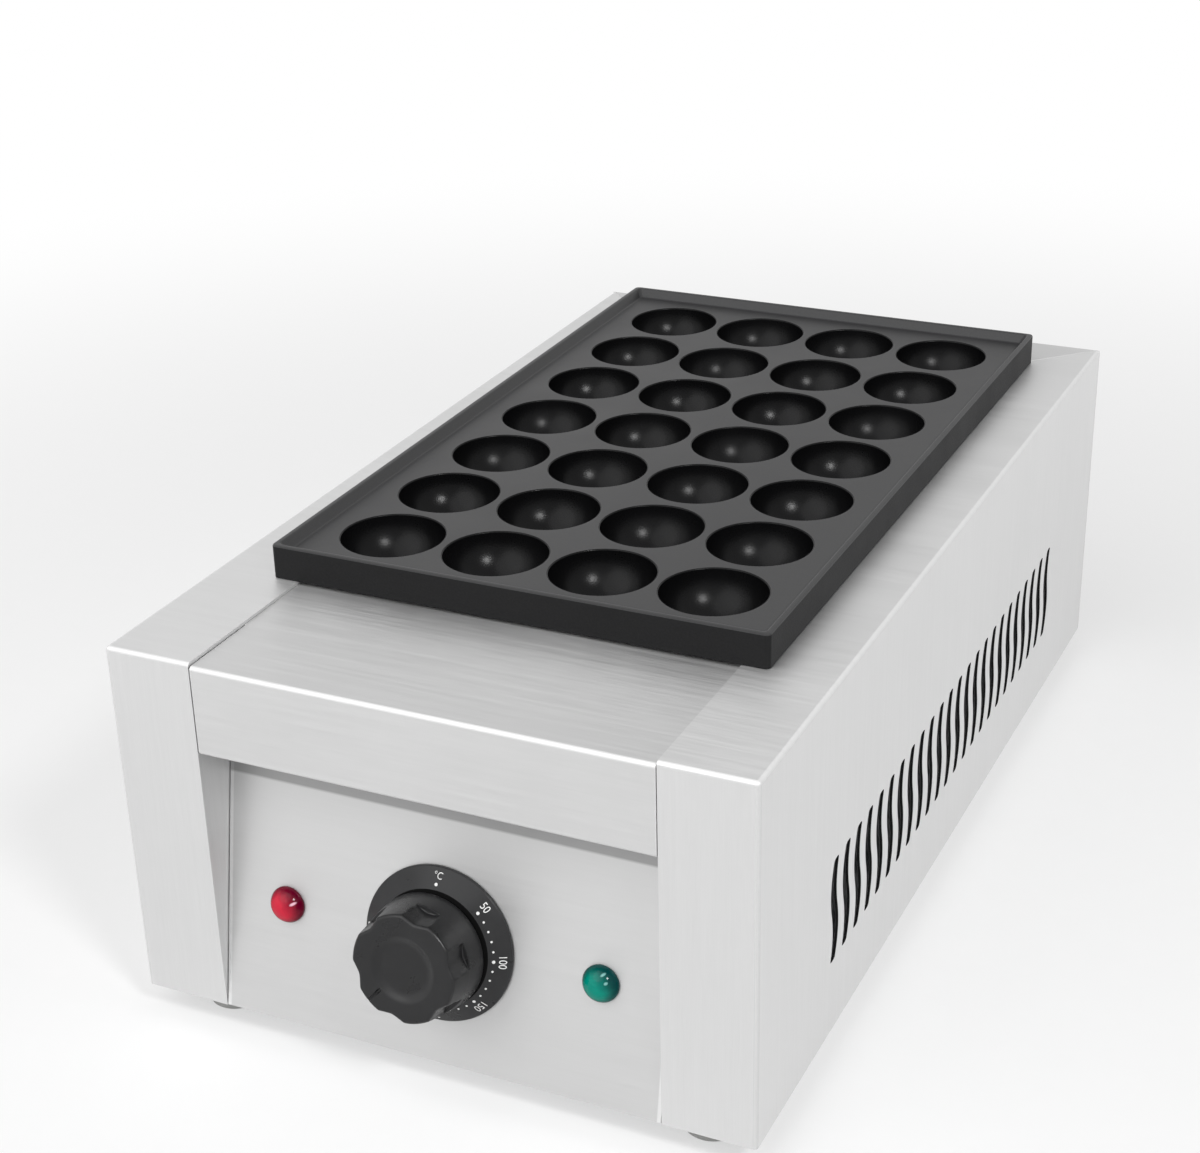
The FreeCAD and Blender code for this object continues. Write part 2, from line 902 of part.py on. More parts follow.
def grooved_underside(body, level):
    # the cups' columns share one thick web, cut by tapered grooves in which the heaters lie
    lowest = web_low - top
    crest = lowest + cell("groove_height")
    column = half(pitch_x)
    foot = cup_reach_x + column - groove_mouth
    shoulder = cup_reach_x + column - groove_crest
    web = [
        (-foot, lowest),
        (foot, lowest),
        (shoulder, crest),
        (shoulder, level - 1),
        (-shoulder, level - 1),
        (-shoulder, crest),
    ]
    pad(body, outline(new_sketch(body, "XZ_Plane"), web), cup_reach_y * 2, both=True)
    first = column - cup_reach_x
    groove_section = [
        (first - groove_mouth, lowest),
        (first - groove_crest, crest),
        (first + groove_crest, crest),
        (first + groove_mouth, lowest),
    ]
    sketch = outline(new_sketch(body, "XZ_Plane"), groove_section)
    cut = pocket(body, sketch, cup_reach_y * 2 + 2, both=True)
    row_of(body, cut, "X_Axis", pitch_x, cell("cup_columns") - 1)
    # each column ends in a round bulge, so that the heaters can turn round it
    bulge = [
        (0, lowest),
        (column - groove_mouth, lowest),
        (column - groove_crest, crest),
        (column - groove_crest, level - 1),
        (0, level - 1),
    ]
    sketch = new_sketch(body, "XZ_Plane", cup_reach_y, shift=(-cup_reach_x, 0))
    ends = [(pitch_x, cell("cup_columns")), (cup_reach_y * 2, as_size(2))]
    grid_of(body, spin(body, outline(sketch, bulge)), ends)
    slot_half = half(cell("bar_width")) + gap
    for row in boss_rows:
        middle = pitch_y * row
        slot = rectangle(
            new_sketch(body, "XY_Plane", lowest - 1),
            -shoulder - 1,
            middle - slot_half,
            shoulder + 1,
            middle + slot_half,
        )
        pocket(body, slot, tube_z - cell("tube_radius") - top - lowest + 1, True)


def cut_cups(body, level):
    # one cup, a round bowl with a small flat in its floor, repeated across and along
    radius = cell("cup_radius")
    flat = cell("cup_floor_radius")
    bend = (radius - flat) * math.sqrt(0.5)
    sketch = new_sketch(body, "XZ_Plane", cup_reach_y, shift=(-cup_reach_x, level))
    bowl = [
        (0, 1),
        (radius, 1),
        (radius, 0, (flat + bend, -bend)),
        (flat, flat - radius),
        (0, flat - radius),
    ]
    cup = groove(body, outline(sketch, bowl))
    grid = [
        (pitch_x, cell("cup_columns")),
        (pitch_y, cell("cup_rows")),
    ]
    grid_of(body, cup, grid)


def heating_element(label, side):
    # a hairpin of sheathed tube that lies between the cup columns and turns round the last outer cup
    body = new_body(label)
    near_x = side * pitch_x
    far_x = side * pitch_x * 2
    turn_y = cup_reach_y
    start_y = plate_front - plate_y - cell("tube_front")
    bend = pitch_x / 2
    middle_x = half(near_x + far_x)
    corners = [
        (near_x, start_y),
        (near_x, turn_y, (middle_x, turn_y + bend)),
        (far_x, turn_y),
        (far_x, start_y),
    ]
    path = outline(new_sketch(body, "XY_Plane"), corners, closed=False)
    tube = disc(new_sketch(body, "XZ_Plane", -start_y), cell("tube_radius"), near_x, 0)
    pipe = body.newObject("PartDesign::AdditivePipe", label + "_tube")
    pipe.Profile = tube
    pipe.Spine = (path, ["Edge1", "Edge2", "Edge3"])
    doc.recompute()
    for x in (near_x, far_x):
        pin = disc(new_sketch(body, "XZ_Plane", -start_y), cell("pin_radius"), x, 0)
        pad(body, pin, cell("pin_length"))
    place(body, 0, plate_y, tube_z)
    return body


def clamp_bar(label, row):
    # flat bar across the tubes, drawn up by the stud in its middle
    body = new_body(label)
    reach = pitch_x * 2 + half(cell("bar_over"))
    width = half(cell("bar_width"))
    pad(
        body,
        rectangle(new_sketch(body, "XY_Plane"), -reach, -width, reach, width),
        cell("bar_wall") - gap / 3,
    )
    hole = disc(new_sketch(body, "XY_Plane", -1), cell("stud_radius") + gap)
    pocket(body, hole, cell("bar_wall") + 2, True)
    place(body, 0, plate_y + pitch_y * row, bar_z)
    return body


def heat_tray():
    # channel under the heaters, hooked below both strips and drawn up by the studs
    body = new_body("heat_tray")
    half_tray = tray_half
    skin = cell("tray_wall")
    lip = half_tray + cell("tray_flange")
    section = [
        (-lip, tray_top),
        (-half_tray + skin, tray_top),
        (-half_tray + skin, tray_floor),
        (half_tray - skin, tray_floor),
        (half_tray - skin, tray_top),
        (lip, tray_top),
        (lip, tray_top - skin),
        (half_tray, tray_top - skin),
        (half_tray, tray_bottom),
        (-half_tray, tray_bottom),
        (-half_tray, tray_top - skin),
        (-lip, tray_top - skin),
    ]
    pad(body, outline(new_sketch(body, "XZ_Plane"), section), tray_reach * 2, both=True)
    for row in boss_rows:
        hole = disc(
            new_sketch(body, "XY_Plane", tray_bottom - 1),
            cell("stud_radius") + gap,
            0,
            pitch_y * row,
        )
        pocket(body, hole, skin + 2, True)
    place(body, 0, plate_y, 0)
    return body


def studs_and_nuts():
    radius = cell("stud_radius").value
    length = cell("stud_length").value
    nut = hex_nut(cell("nut_width").value, cell("nut_height").value, radius)
    height = cell("nut_height")
    stud_top = floor_under - 1
    studs = []
    nuts = []
    for row in boss_rows:
        y = plate_y + pitch_y * row
        studs.append(moved(Part.makeCylinder(radius, length), pose(0, y, stud_top - length)))
        nuts.append(moved(nut, pose(0, y, bar_z - height)))
        nuts.append(moved(nut, pose(0, y, tray_bottom - height)))
    group("plate_studs", studs)
    group("stud_nuts", nuts)


def element_bracket():
    # upright sheet ahead of the plate that carries the heaters' ends, its foot below the tray
    body = new_body("element_bracket")
    reach = tray_half
    high = deck_top - wall - gap - tube_z
    low = tray_bottom - wall - tube_z
    plate = rectangle(new_sketch(body, "XZ_Plane"), -reach, low, reach, high)
    pad(body, plate, wall, True)
    lap = plate_y - tray_reach + cell("bracket_lap") - bracket_y
    foot = rectangle(new_sketch(body, "XY_Plane", low), -reach, 0, reach, lap)
    pad(body, foot, wall)
    for column in (-2, -1, 1, 2):
        hole = disc(
            new_sketch(body, "XZ_Plane", 1),
            cell("tube_radius") + gap,
            pitch_x * column,
            0,
        )
        pocket(body, hole, wall + 2)
    notch_half = cell("capillary_radius") + 1
    notch = rectangle(
        new_sketch(body, "XZ_Plane", 1),
        -notch_half,
        sensor_z - tube_z - notch_half,
        notch_half,
        high + 1,
    )
    pocket(body, notch, wall + 2)
    place(body, 0, bracket_y, tube_z)
    return body


# ---------------------------------------------------------------- thermostat, dial and knob


def thermostat():
    up = cell("dial_height")
    face = -(wall + cell("bracket_wall"))
    bracket = new_body("thermostat_bracket")
    span = half(cell("bracket_span"))
    tall = half(cell("thermostat_tall")) - cell("thermostat_corner")
    pad(
        bracket,
        rectangle(new_sketch(bracket, "XY_Plane", -wall), -span, -tall, span, tall),
        cell("bracket_wall"),
        True,
    )
    hole = disc(new_sketch(bracket, "XY_Plane"), cell("spindle_hole"))
    pocket(bracket, hole, wall + cell("bracket_wall") + 1)
    for side in (-1, 1):
        thread = disc(
            new_sketch(bracket, "XY_Plane"), cell("screw_radius"), side * cell("dial_screw_offset"), 0
        )
        pocket(bracket, thread, wall + cell("bracket_wall") + 1)
    on_panel(bracket, 0, up)

    body = new_body("thermostat_body")
    half_x = half(cell("thermostat_width"))
    half_y = half(cell("thermostat_tall"))
    case = rectangle(new_sketch(body, "XY_Plane", face), -half_x, -half_y, half_x, half_y)
    pad(body, case, cell("thermostat_deep"), True)
    rounded(body, cell("thermostat_corner"), lambda middle, along: abs(along.z) > 0.9)
    neck = disc(new_sketch(body, "XY_Plane", face - 1), cell("bushing_radius"))
    pad(body, neck, cell("bushing_top") - face + 1)
    shaft = disc(
        new_sketch(body, "XY_Plane", cell("bushing_top") + 1), cell("spindle_radius") + cell("turn_gap")
    )
    pocket(body, shaft, cell("bushing_top") + 2 - cell("spindle_low"))
    for side in (-1, 0, 1):
        tab = rectangle(
            new_sketch(body, "XY_Plane", face - cell("thermostat_deep")),
            side * 8.0 - 0.4,
            -3.2,
            side * 8.0 + 0.4,
            3.2,
        )
        pad(body, tab, 9, True)
    on_panel(body, 0, up)

    spindle = new_body("thermostat_spindle")
    pad(
        spindle,
        d_shape(new_sketch(spindle, "XY_Plane", 3), cell("spindle_radius")),
        cell("spindle_top") - 3,
    )
    stem = disc(new_sketch(spindle, "XY_Plane", 3), cell("spindle_radius"))
    pad(spindle, stem, 3 - cell("spindle_low"), True)
    on_panel(spindle, 0, up)


def d_shape(sketch, radius):
    flat = cell("spindle_flat")
    reach = root(radius * radius - flat * flat)
    return outline(sketch, [(reach, flat, (0, -radius)), (-reach, flat)])


def dial_ring():
    # conical bezel that carries the temperature scale, screwed through the panel
    body = new_body("dial_ring")
    crest = cell("dial_crest")
    crest_radius = cell("dial_crest_radius")
    rim = cell("dial_rim")
    outer = cell("dial_radius")
    skin = cell("dial_wall")
    web = cell("dial_web")
    hole = cell("dial_hole")
    section = [
        (hole, 0),
        (crest_radius, 0),
        (crest_radius, crest - skin),
        (outer - skin, rim - skin / 2),
        (outer - skin, 0),
        (outer, 0),
        (outer, rim),
        (crest_radius, crest),
        (crest_radius - skin, crest),
        (crest_radius - skin, web),
        (hole, web),
    ]
    spin(body, outline(new_sketch(body, "XZ_Plane"), section))
    for side in (-1, 1):
        fixing = disc(
            new_sketch(body, "XY_Plane", web + 1), screw_hole, side * cell("dial_screw_offset"), 0
        )
        pocket(body, fixing, web + 2)
    on_panel(body, 0, cell("dial_height"))
    return body


def control_knob():
    # round skirt, finger grooves that run out short of it, dished face and a pointer notch
    body = new_body("control_knob")
    face = cell("knob_face")
    face_radius = cell("knob_face_radius")
    edge = cell("knob_edge")
    skirt = cell("knob_skirt_radius")
    low = cell("knob_skirt_low")
    dish = cell("dish_radius")
    depth = cell("dish_depth")
    section = [
        (0, cell("knob_hub_low")),
        (cell("knob_hub_radius"), cell("knob_hub_low")),
        (cell("knob_hub_radius"), cell("knob_cavity_roof")),
        (cell("knob_cavity_radius"), cell("knob_cavity_roof")),
        (cell("knob_cavity_radius"), low),
        (skirt, low),
        (skirt, cell("knob_skirt_top")),
        (face_radius, face - edge),
        (face_radius - edge, face),
        (dish, face, (dish * 0.6, face - depth * 0.72)),
        (0, face - depth),
    ]
    spin(body, outline(new_sketch(body, "XZ_Plane"), section))
    lobe = as_size(360) / cell("knob_lobes")
    vertex = cell("knob_groove_radius")
    reach = cell("knob_groove_reach")
    wide = cell("knob_groove_half")
    grip = outline(
        new_sketch(body, "XY_Plane", face + 1, cell("pointer_angle") + lobe / 2),
        [
            (vertex + reach * 0.12, -wide * 0.3, (vertex, 0)),
            (vertex + reach * 0.12, wide * 0.3),
            (vertex + reach, wide),
            (vertex + reach * 4, wide * 1.08),
            (vertex + reach * 4, -wide * 1.08),
            (vertex + reach, -wide),
        ],
    )
    long = face + 1 - cell("knob_groove_end")
    cut = pocket(body, grip, long, draft=-cell("knob_groove_draft"))
    ring_of(body, cut, cell("knob_lobes"))
    mark = rectangle(
        new_sketch(body, "XY_Plane", face + 1, cell("pointer_angle")),
        dish - 1,
        -half(cell("pointer_width")),
        skirt,
        half(cell("pointer_width")),
    )
    pocket(body, mark, cell("pointer_depth") + 1)
    bore = d_shape(
        new_sketch(body, "XY_Plane", cell("knob_hub_low") - 1), cell("spindle_radius") + cell("turn_gap")
    )
    pocket(body, bore, cell("spindle_top") - cell("knob_hub_low") + 2, True)
    on_panel(body, 0, cell("dial_height"))
    return body


def panel_pose(x, up, out):
    # the placement that on_panel gives, as plain numbers, with local Z out of the panel
    angle = FreeCAD.Rotation(Vector(1, 0, 0), (90 - tilt).value)
    y, z = slope_point(up, out)
    return FreeCAD.Placement(Vector(as_size(x).value, y.value, z.value), angle)


def dial_screws():
    solids = []
    for side in (-1, 1):
        spot = panel_pose(side * cell("dial_screw_offset"), cell("dial_height"), cell("dial_web"))
        solids.append(moved(screw(cell("screw_length")), spot))
    group("dial_screws", solids)


def sensor():
    # bulb in the middle groove and its capillary, which bends down into the thermostat
    body = new_body("capillary_sensor")
    up = cell("dial_height") + half(cell("thermostat_tall"))
    out = -(wall + cell("bracket_wall") + half(cell("thermostat_deep")))
    case_y, case_z = slope_point(up, out)
    corner_y = case_y + (sensor_z - case_z) * tilt_sine / tilt_cosine
    bend = cell("capillary_bend")
    trim = bend * cosine(tilt) / (1 + tilt_sine)
    middle = bend / cosine(half(90 - tilt)) - bend
    inner = half(90 - tilt)
    path = [
        (sensor_tip, sensor_z),
        (
            corner_y + trim,
            sensor_z,
            (corner_y + middle * sine(inner), sensor_z - middle * cosine(inner)),
        ),
        (corner_y - trim * tilt_sine, sensor_z - trim * tilt_cosine),
        (case_y, case_z),
    ]
    spine = outline(new_sketch(body, "YZ_Plane"), path, closed=False)
    tube = new_sketch(body, "XZ_Plane", -sensor_tip)
    disc(tube, cell("capillary_radius"), 0, sensor_z)
    pipe = body.newObject("PartDesign::AdditivePipe", "capillary")
    pipe.Profile = tube
    pipe.Spine = (spine, ["Edge1", "Edge2", "Edge3"])
    doc.recompute()
    bulb = disc(new_sketch(body, "XZ_Plane", -sensor_tip), cell("sensor_radius"), 0, sensor_z)
    pad(body, bulb, cell("sensor_length"), True)


def sensor_clip():
    # spring strip below the web that lifts the bulb into its groove
    body = new_body("sensor_clip")
    skin = cell("clip_wall")
    seat = web_low
    saddle = sensor_z - cell("sensor_radius") - cell("lap_gap")
    mouth = groove_mouth - skin
    crown = half(groove_mouth) - gap
    wing = groove_mouth + cell("clip_wing")
    section = [
        (-wing, seat),
        (-mouth, seat),
        (-crown, saddle),
        (crown, saddle),
        (mouth, seat),
        (wing, seat),
        (wing, seat - skin),
        (mouth - skin, seat - skin),
        (crown - skin, saddle - skin),
        (skin - crown, saddle - skin),
        (skin - mouth, seat - skin),
        (-wing, seat - skin),
    ]
    pad(body, outline(new_sketch(body, "XZ_Plane"), section), cell("clip_width"), both=True)
    place(body, 0, half(sensor_tip + sensor_tail), 0)


# ---------------------------------------------------------------- signal lamps


def cap_middle(radius, low, high):
    # halfway point of the arc that rises from a rim of this radius to a top on the axis
    rise = high - low
    ball = (radius * radius + rise * rise) / (rise * 2)
    upward = ball - rise + ball
    reach = root(radius * radius + upward * upward)
    return ball * radius / reach, high - ball + ball * upward / reach


def signal_lamp(colour, side):
    lens = new_body(colour + "_lens")
    radius = cell("lens_radius")
    skin = cell("lens_wall")
    shoulder = cell("lens_shoulder")
    height = cell("lens_height")
    inside = radius - skin
    section = [
        (inside, 0),
        (radius, 0),
        (radius, shoulder, cap_middle(radius, shoulder, height)),
        (0, height),
        (0, height - skin),
        (inside, shoulder + skin * 0.6),
    ]
    spin(lens, outline(new_sketch(lens, "XZ_Plane"), section))
    on_panel(lens, side * cell("lamp_offset"), cell("dial_height"))

    body = new_body(colour + "_lamp")
    barrel = disc(new_sketch(body, "XY_Plane", cell("lamp_front")), cell("lamp_radius"))
    pad(body, barrel, cell("lamp_front") + cell("lamp_depth"), True)
    for pin in (-1, 1):
        tab = rectangle(
            new_sketch(body, "XY_Plane", -cell("lamp_depth")), pin * 2.6 - 0.4, -1.4, pin * 2.6 + 0.4, 1.4
        )
        pad(body, tab, 7, True)
    on_panel(body, side * cell("lamp_offset"), cell("dial_height"))


def lamp_nuts():
    outer = cell("lamp_nut_radius").value
    height = cell("lamp_nut_height").value
    nut = hex_nut(outer * 2, height, cell("lamp_radius").value)
    solids = []
    for side in (-1, 1):
        spot = panel_pose(
            side * cell("lamp_offset"), cell("dial_height"), -(wall + cell("lamp_nut_height"))
        )
        solids.append(moved(nut, spot))
    group("lamp_nuts", solids)


# ---------------------------------------------------------------- feet, mains entry and fasteners


def rubber_feet():
    names = ("foot_front_left", "foot_front_right", "foot_rear_left", "foot_rear_right")
    for label, (x, y) in zip(names, foot_places()):
        body = new_body(label)
        radius = cell("foot_radius")
        height = cell("foot_height") + wall
        recess = cell("screw_head_radius") + 1
        section = [
            (screw_hole, cell("foot_screw_recess")),
            (recess, cell("foot_screw_recess")),
            (recess, 0),
            (radius - cell("foot_taper"), 0),
            (radius, height),
            (screw_hole, height),
        ]
        spin(body, outline(new_sketch(body, "XZ_Plane"), section))
        place(body, x, y, 0)


def foot_screws():
    length = cell("foot_height") + wall * 3 - cell("foot_screw_recess")
    solids = []
    for x, y in foot_places():
        spot = pose(x, y, cell("foot_screw_recess"), Vector(0, 0, -1))
        solids.append(moved(screw(length), spot))
    group("foot_screws", solids)


def cable_gland():
    bore = cell("gland_bore")
    thread = cell("gland_thread_radius")
    body = new_body("cable_gland")
    flange = hexagon(new_sketch(body, "XY_Plane"), cell("gland_hex_width"))
    pad(body, flange, cell("gland_hex_height"))
    pad(body, disc(new_sketch(body, "XY_Plane"), thread), wall + cell("gland_thread_length"), True)
    collar = disc(new_sketch(body, "XY_Plane", cell("gland_hex_height") - 1), thread - 1)
    pad(body, collar, cell("gland_reach") / 2 - 1)
    way = disc(new_sketch(body, "XY_Plane", cell("gland_reach")), bore)
    pocket(body, way, cell("gland_reach") + cell("gland_thread_length") + wall * 2)
    turn(body, Vector(1, 0, 0), -90)
    place(body, cell("gland_x"), rear, cell("gland_z"))

    cap = new_body("gland_cap")
    start = cell("gland_hex_height") + gap
    inside = cell("gland_hex_height") + cell("gland_reach") / 2 - 2 + gap
    outer = half(cell("gland_hex_width")) - 0.5
    tip = bore + 1.6
    section = [
        (thread - 1 + gap / 3, start),
        (outer, start),
        (outer, half(inside + cell("gland_reach"))),
        (tip, cell("gland_reach")),
        (bore, cell("gland_reach")),
        (bore, inside),
        (thread - 1 + gap / 3, inside),
    ]
    spin(cap, outline(new_sketch(cap, "XZ_Plane"), section))
    turn(cap, Vector(1, 0, 0), -90)
    place(cap, cell("gland_x"), rear, cell("gland_z"))

    nut = hex_nut(cell("gland_hex_width").value, cell("gland_nut_height").value, thread.value)
    spot = pose(cell("gland_x"), rear - wall - cell("gland_nut_height"), cell("gland_z"), Vector(0, 1, 0))
    group("gland_nut", [moved(nut, spot)])


def earth_stud():
    radius = cell("earth_radius").value
    stud = Part.makeCylinder(radius, cell("earth_length").value)
    away = Vector(0, 1, 0)
    x = cell("earth_x")
    z = cell("earth_z")
    tail = rear + cell("earth_reach") - cell("earth_length")
    group("earth_stud", [moved(stud, pose(x, tail, z, away))])
    nut = hex_nut(cell("earth_nut_width").value, cell("earth_nut_height").value, radius)
    inner_y = rear - wall - cell("earth_nut_height")
    outer_y = rear + cell("earth_nut_height") + 1
    nuts = [moved(nut, pose(x, y, z, away)) for y in (inner_y, rear, outer_y)]
    group("earth_nuts", nuts)


def terminal_block():
    # moulded strip with a screw well over each of its three poles
    body = new_body("terminal_block")
    long = half(cell("block_length"))
    wide = half(cell("block_width"))
    high = cell("block_height")
    section = [
        (-wide, 0),
        (wide, 0),
        (wide, high * 0.6),
        (wide * 0.5, high * 0.6),
        (wide * 0.5, high),
        (-wide * 0.5, high),
        (-wide * 0.5, high * 0.6),
        (-wide, high * 0.6),
    ]
    pad(body, outline(new_sketch(body, "YZ_Plane"), section), long * 2, both=True)
    for pole in (-1, 0, 1):
        well = new_sketch(body, "XY_Plane", high + 1)
        pocket(body, disc(well, 3.0, cell("block_length") / 3 * pole, 0), high * 0.5)
    place(body, cell("block_x"), cell("block_y"), base_top)
    return body


# ---------------------------------------------------------------- the assembly


def build():
    side_panel("side_panel_left", -1)
    side_panel("side_panel_right", 1)
    rear_panel()
    hood()
    control_panel()
    base_plate()
    cooking_plate()
    heating_element("heating_element_left", -1)
    heating_element("heating_element_right", 1)
    for label, row in zip(("clamp_bar_front", "clamp_bar_rear"), boss_rows):
        clamp_bar(label, row)
    heat_tray()
    studs_and_nuts()
    element_bracket()
    thermostat()
    sensor()
    sensor_clip()
    dial_ring()
    control_knob()
    dial_screws()
    signal_lamp("red", -1)
    signal_lamp("green", 1)
    lamp_nuts()
    rubber_feet()
    foot_screws()
    cable_gland()
    earth_stud()
    terminal_block()
    doc.recompute()


def check():
    for item in doc.Objects:
        if "Invalid" in item.State or "Error" in item.State:
            raise RuntimeError(item.Name + " is " + ", ".join(item.State))
    for label, item in nodes.items():
        if item.Shape.isNull() or not item.Shape.isValid():
            raise RuntimeError(label + " has no valid shape")


def export():
    os.makedirs("parts", exist_ok=True)
    for label, item in nodes.items():
        item.Shape.exportStep(os.path.join("parts", label + ".step"))


build()
check()
export()
for label, item in nodes.items():
    size = item.Shape.BoundBox
    solids = len(item.Shape.Solids)
    print("%-24s %2d solid(s) %9.0f mm3" % (label, solids, item.Shape.Volume))
    print("    x %.1f..%.1f y %.1f..%.1f z %.1f..%.1f" % (
        size.XMin, size.XMax, size.YMin, size.YMax, size.ZMin, size.ZMax
    ))
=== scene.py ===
import json
import math

import bmesh
import bpy
from mathutils import Matrix, Vector


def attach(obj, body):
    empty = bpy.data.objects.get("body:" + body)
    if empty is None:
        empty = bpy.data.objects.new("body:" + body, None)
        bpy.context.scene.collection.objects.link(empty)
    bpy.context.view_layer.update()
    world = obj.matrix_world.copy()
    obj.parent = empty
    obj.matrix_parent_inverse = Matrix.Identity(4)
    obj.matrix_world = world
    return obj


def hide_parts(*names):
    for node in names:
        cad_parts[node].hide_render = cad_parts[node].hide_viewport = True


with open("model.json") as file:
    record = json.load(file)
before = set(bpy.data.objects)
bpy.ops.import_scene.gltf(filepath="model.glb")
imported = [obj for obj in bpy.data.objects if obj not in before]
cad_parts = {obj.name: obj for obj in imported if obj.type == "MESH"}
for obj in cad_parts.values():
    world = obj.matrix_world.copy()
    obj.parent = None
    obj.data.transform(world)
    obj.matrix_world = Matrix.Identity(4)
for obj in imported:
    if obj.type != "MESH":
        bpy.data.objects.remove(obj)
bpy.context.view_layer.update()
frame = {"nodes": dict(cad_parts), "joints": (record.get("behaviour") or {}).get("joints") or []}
nodes = frame["nodes"]
print("frame loaded,", len(nodes), "nodes")

# camera, as it stands in front and to the right of the maker
cameraLook = {
    "place": (0.34593, -0.78988, 0.51494),
    "turn": (63.386, 1.351, 25.002),
    "lens": 67.84,
    "shiftUp": 0.0529,
}


def newObject(name, data):
    made = bpy.data.objects.new(name, data)
    bpy.context.scene.collection.objects.link(made)
    return made


def placeCamera(look):
    camera = newObject("benchCamera", bpy.data.cameras.new("benchCamera"))
    camera.location = look["place"]
    camera.rotation_euler = [math.radians(angle) for angle in look["turn"]]
    camera.data.lens = look["lens"]
    camera.data.sensor_width = 36
    camera.data.shift_y = look["shiftUp"]
    camera.data.clip_start = 0.01
    bpy.context.scene.camera = camera


placeCamera(cameraLook)
bpy.context.scene.view_settings.view_transform = "Standard"
print("camera placed")


# shader helpers
def addNode(tree, kind, inputs=None, **settings):
    # a shader node with its settings, its sockets linked or filled in
    node = tree.nodes.new("ShaderNode" + kind)
    for name, value in settings.items():
        setattr(node, name, value)
    for name, value in (inputs or {}).items():
        if isinstance(value, bpy.types.NodeSocket):
            tree.links.new(value, node.inputs[name])
        else:
            node.inputs[name].default_value = value
    return node


def newFinish(name, colour, roughness, metal=0.0):
    material = bpy.data.materials.new(name)
    material.use_nodes = True
    shader = material.node_tree.nodes["Principled BSDF"]
    shader.inputs["Base Color"].default_value = (*colour, 1)
    shader.inputs["Roughness"].default_value = roughness
    shader.inputs["Metallic"].default_value = metal
    return material, material.node_tree, shader


def objectPlace(tree, stretch=(1, 1, 1)):
    place = addNode(tree, "TexCoord").outputs["Object"]
    return addNode(tree, "Mapping", {"Vector": place, "Scale": stretch}).outputs[0]


def noiseOver(tree, scale, detail=3.0, roughness=0.55, stretch=(1, 1, 1)):
    place = objectPlace(tree, stretch)
    wanted = {"Vector": place, "Scale": scale, "Detail": detail, "Roughness": roughness}
    return addNode(tree, "TexNoise", wanted).outputs["Fac"]


def spread(tree, value, low, high, fromLow=0.3, fromHigh=0.7, kind="LINEAR"):
    wanted = {"Value": value, "From Min": fromLow, "From Max": fromHigh, "To Min": low, "To Max": high}
    return addNode(tree, "MapRange", wanted, interpolation_type=kind).outputs["Result"]


def maths(tree, operation, *values):
    return addNode(tree, "Math", dict(enumerate(values)), operation=operation).outputs[0]


def tinted(tree, shader, colour, shade):
    # the colour made a little lighter or darker by shade, which is about 1
    mix = addNode(tree, "VectorMath", {0: colour, "Scale": shade}, operation="SCALE")
    tree.links.new(mix.outputs[0], shader.inputs["Base Color"])


def roughened(tree, shader, value):
    tree.links.new(value, shader.inputs["Roughness"])


def bumped(tree, shader, height, strength, depth):
    bump = addNode(tree, "Bump", {"Height": height, "Strength": strength, "Distance": depth})
    tree.links.new(bump.outputs[0], shader.inputs["Normal"])


def patchyFinish(name, colour, roughness, patches, shades, change, metal=0.0, gloss=0.5, grain=None):
    # shade and roughness change in patches, perhaps over a grain; noises are scale, detail, roughness
    material, tree, shader = newFinish(name, colour, roughness, metal)
    shader.inputs["Specular IOR Level"].default_value = gloss
    cloud = noiseOver(tree, *patches)
    tinted(tree, shader, colour, spread(tree, cloud, *shades))
    roughened(tree, shader, spread(tree, cloud, roughness + change[0], roughness + change[1]))
    if grain:
        bumped(tree, shader, noiseOver(tree, *grain["noise"]), grain["strength"], grain["depth"])
    return material


# mesh helpers
def mm(look, *names):
    # sizes given in millimetres, as metres
    return [look[name] / 1000 for name in names]


def meshFrom(shape, name):
    mesh = bpy.data.meshes.new(name)
    shape.to_mesh(mesh)
    shape.free()
    return mesh


def finishPiece(shape, name, materials, body, sharpAngle=32, turned=None, even=False):
    # closes a bmesh into a piece that rides on its body, shaded smooth up to the sharp angle
    if turned is not None:
        bmesh.ops.transform(shape, matrix=turned, verts=shape.verts)
    mesh = meshFrom(shape, name)
    piece = newObject(name, mesh)
    for material in materials:
        mesh.materials.append(material)
    mesh.shade_smooth()
    mesh.set_sharp_from_angle(angle=math.radians(sharpAngle))
    if even:
        piece.modifiers.new("evenFaces", "WEIGHTED_NORMAL").keep_sharp = True
    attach(piece, body)
    return piece


def turnedShape(profile, segments, closed=True):
    # spins (radius, height) points about Z, welds the seam and turns the faces outwards
    shape = bmesh.new()
    verts = [shape.verts.new((radius, 0, height)) for radius, height in profile]
    pairs = list(zip(verts, verts[1:]))
    if closed:
        pairs.append((verts[-1], verts[0]))
    geom = verts + [shape.edges.new(pair) for pair in pairs]
    spin = {"angle": math.tau, "steps": segments, "use_merge": True}
    bmesh.ops.spin(shape, geom=geom, cent=(0, 0, 0), axis=(0, 0, 1), **spin)
    bmesh.ops.remove_doubles(shape, verts=shape.verts, dist=1e-6)
    bmesh.ops.recalc_face_normals(shape, faces=shape.faces)
    return shape


def arc(centre, radius, fromAngle, toAngle, steps):
    # points of an arc as (along, up) pairs
    points = []
    for step in range(steps + 1):
        angle = math.radians(fromAngle + (toAngle - fromAngle) * step / steps)
        points.append((centre[0] + radius * math.cos(angle), centre[1] + radius * math.sin(angle)))
    return points


def bevelled(shape, geom, width, segments=2, affect="EDGES"):
    cut = {"offset": width, "segments": segments, "affect": affect, "profile": 0.5, "material": -1}
    return bmesh.ops.bevel(shape, geom=geom, clamp_overlap=True, **cut)["faces"]


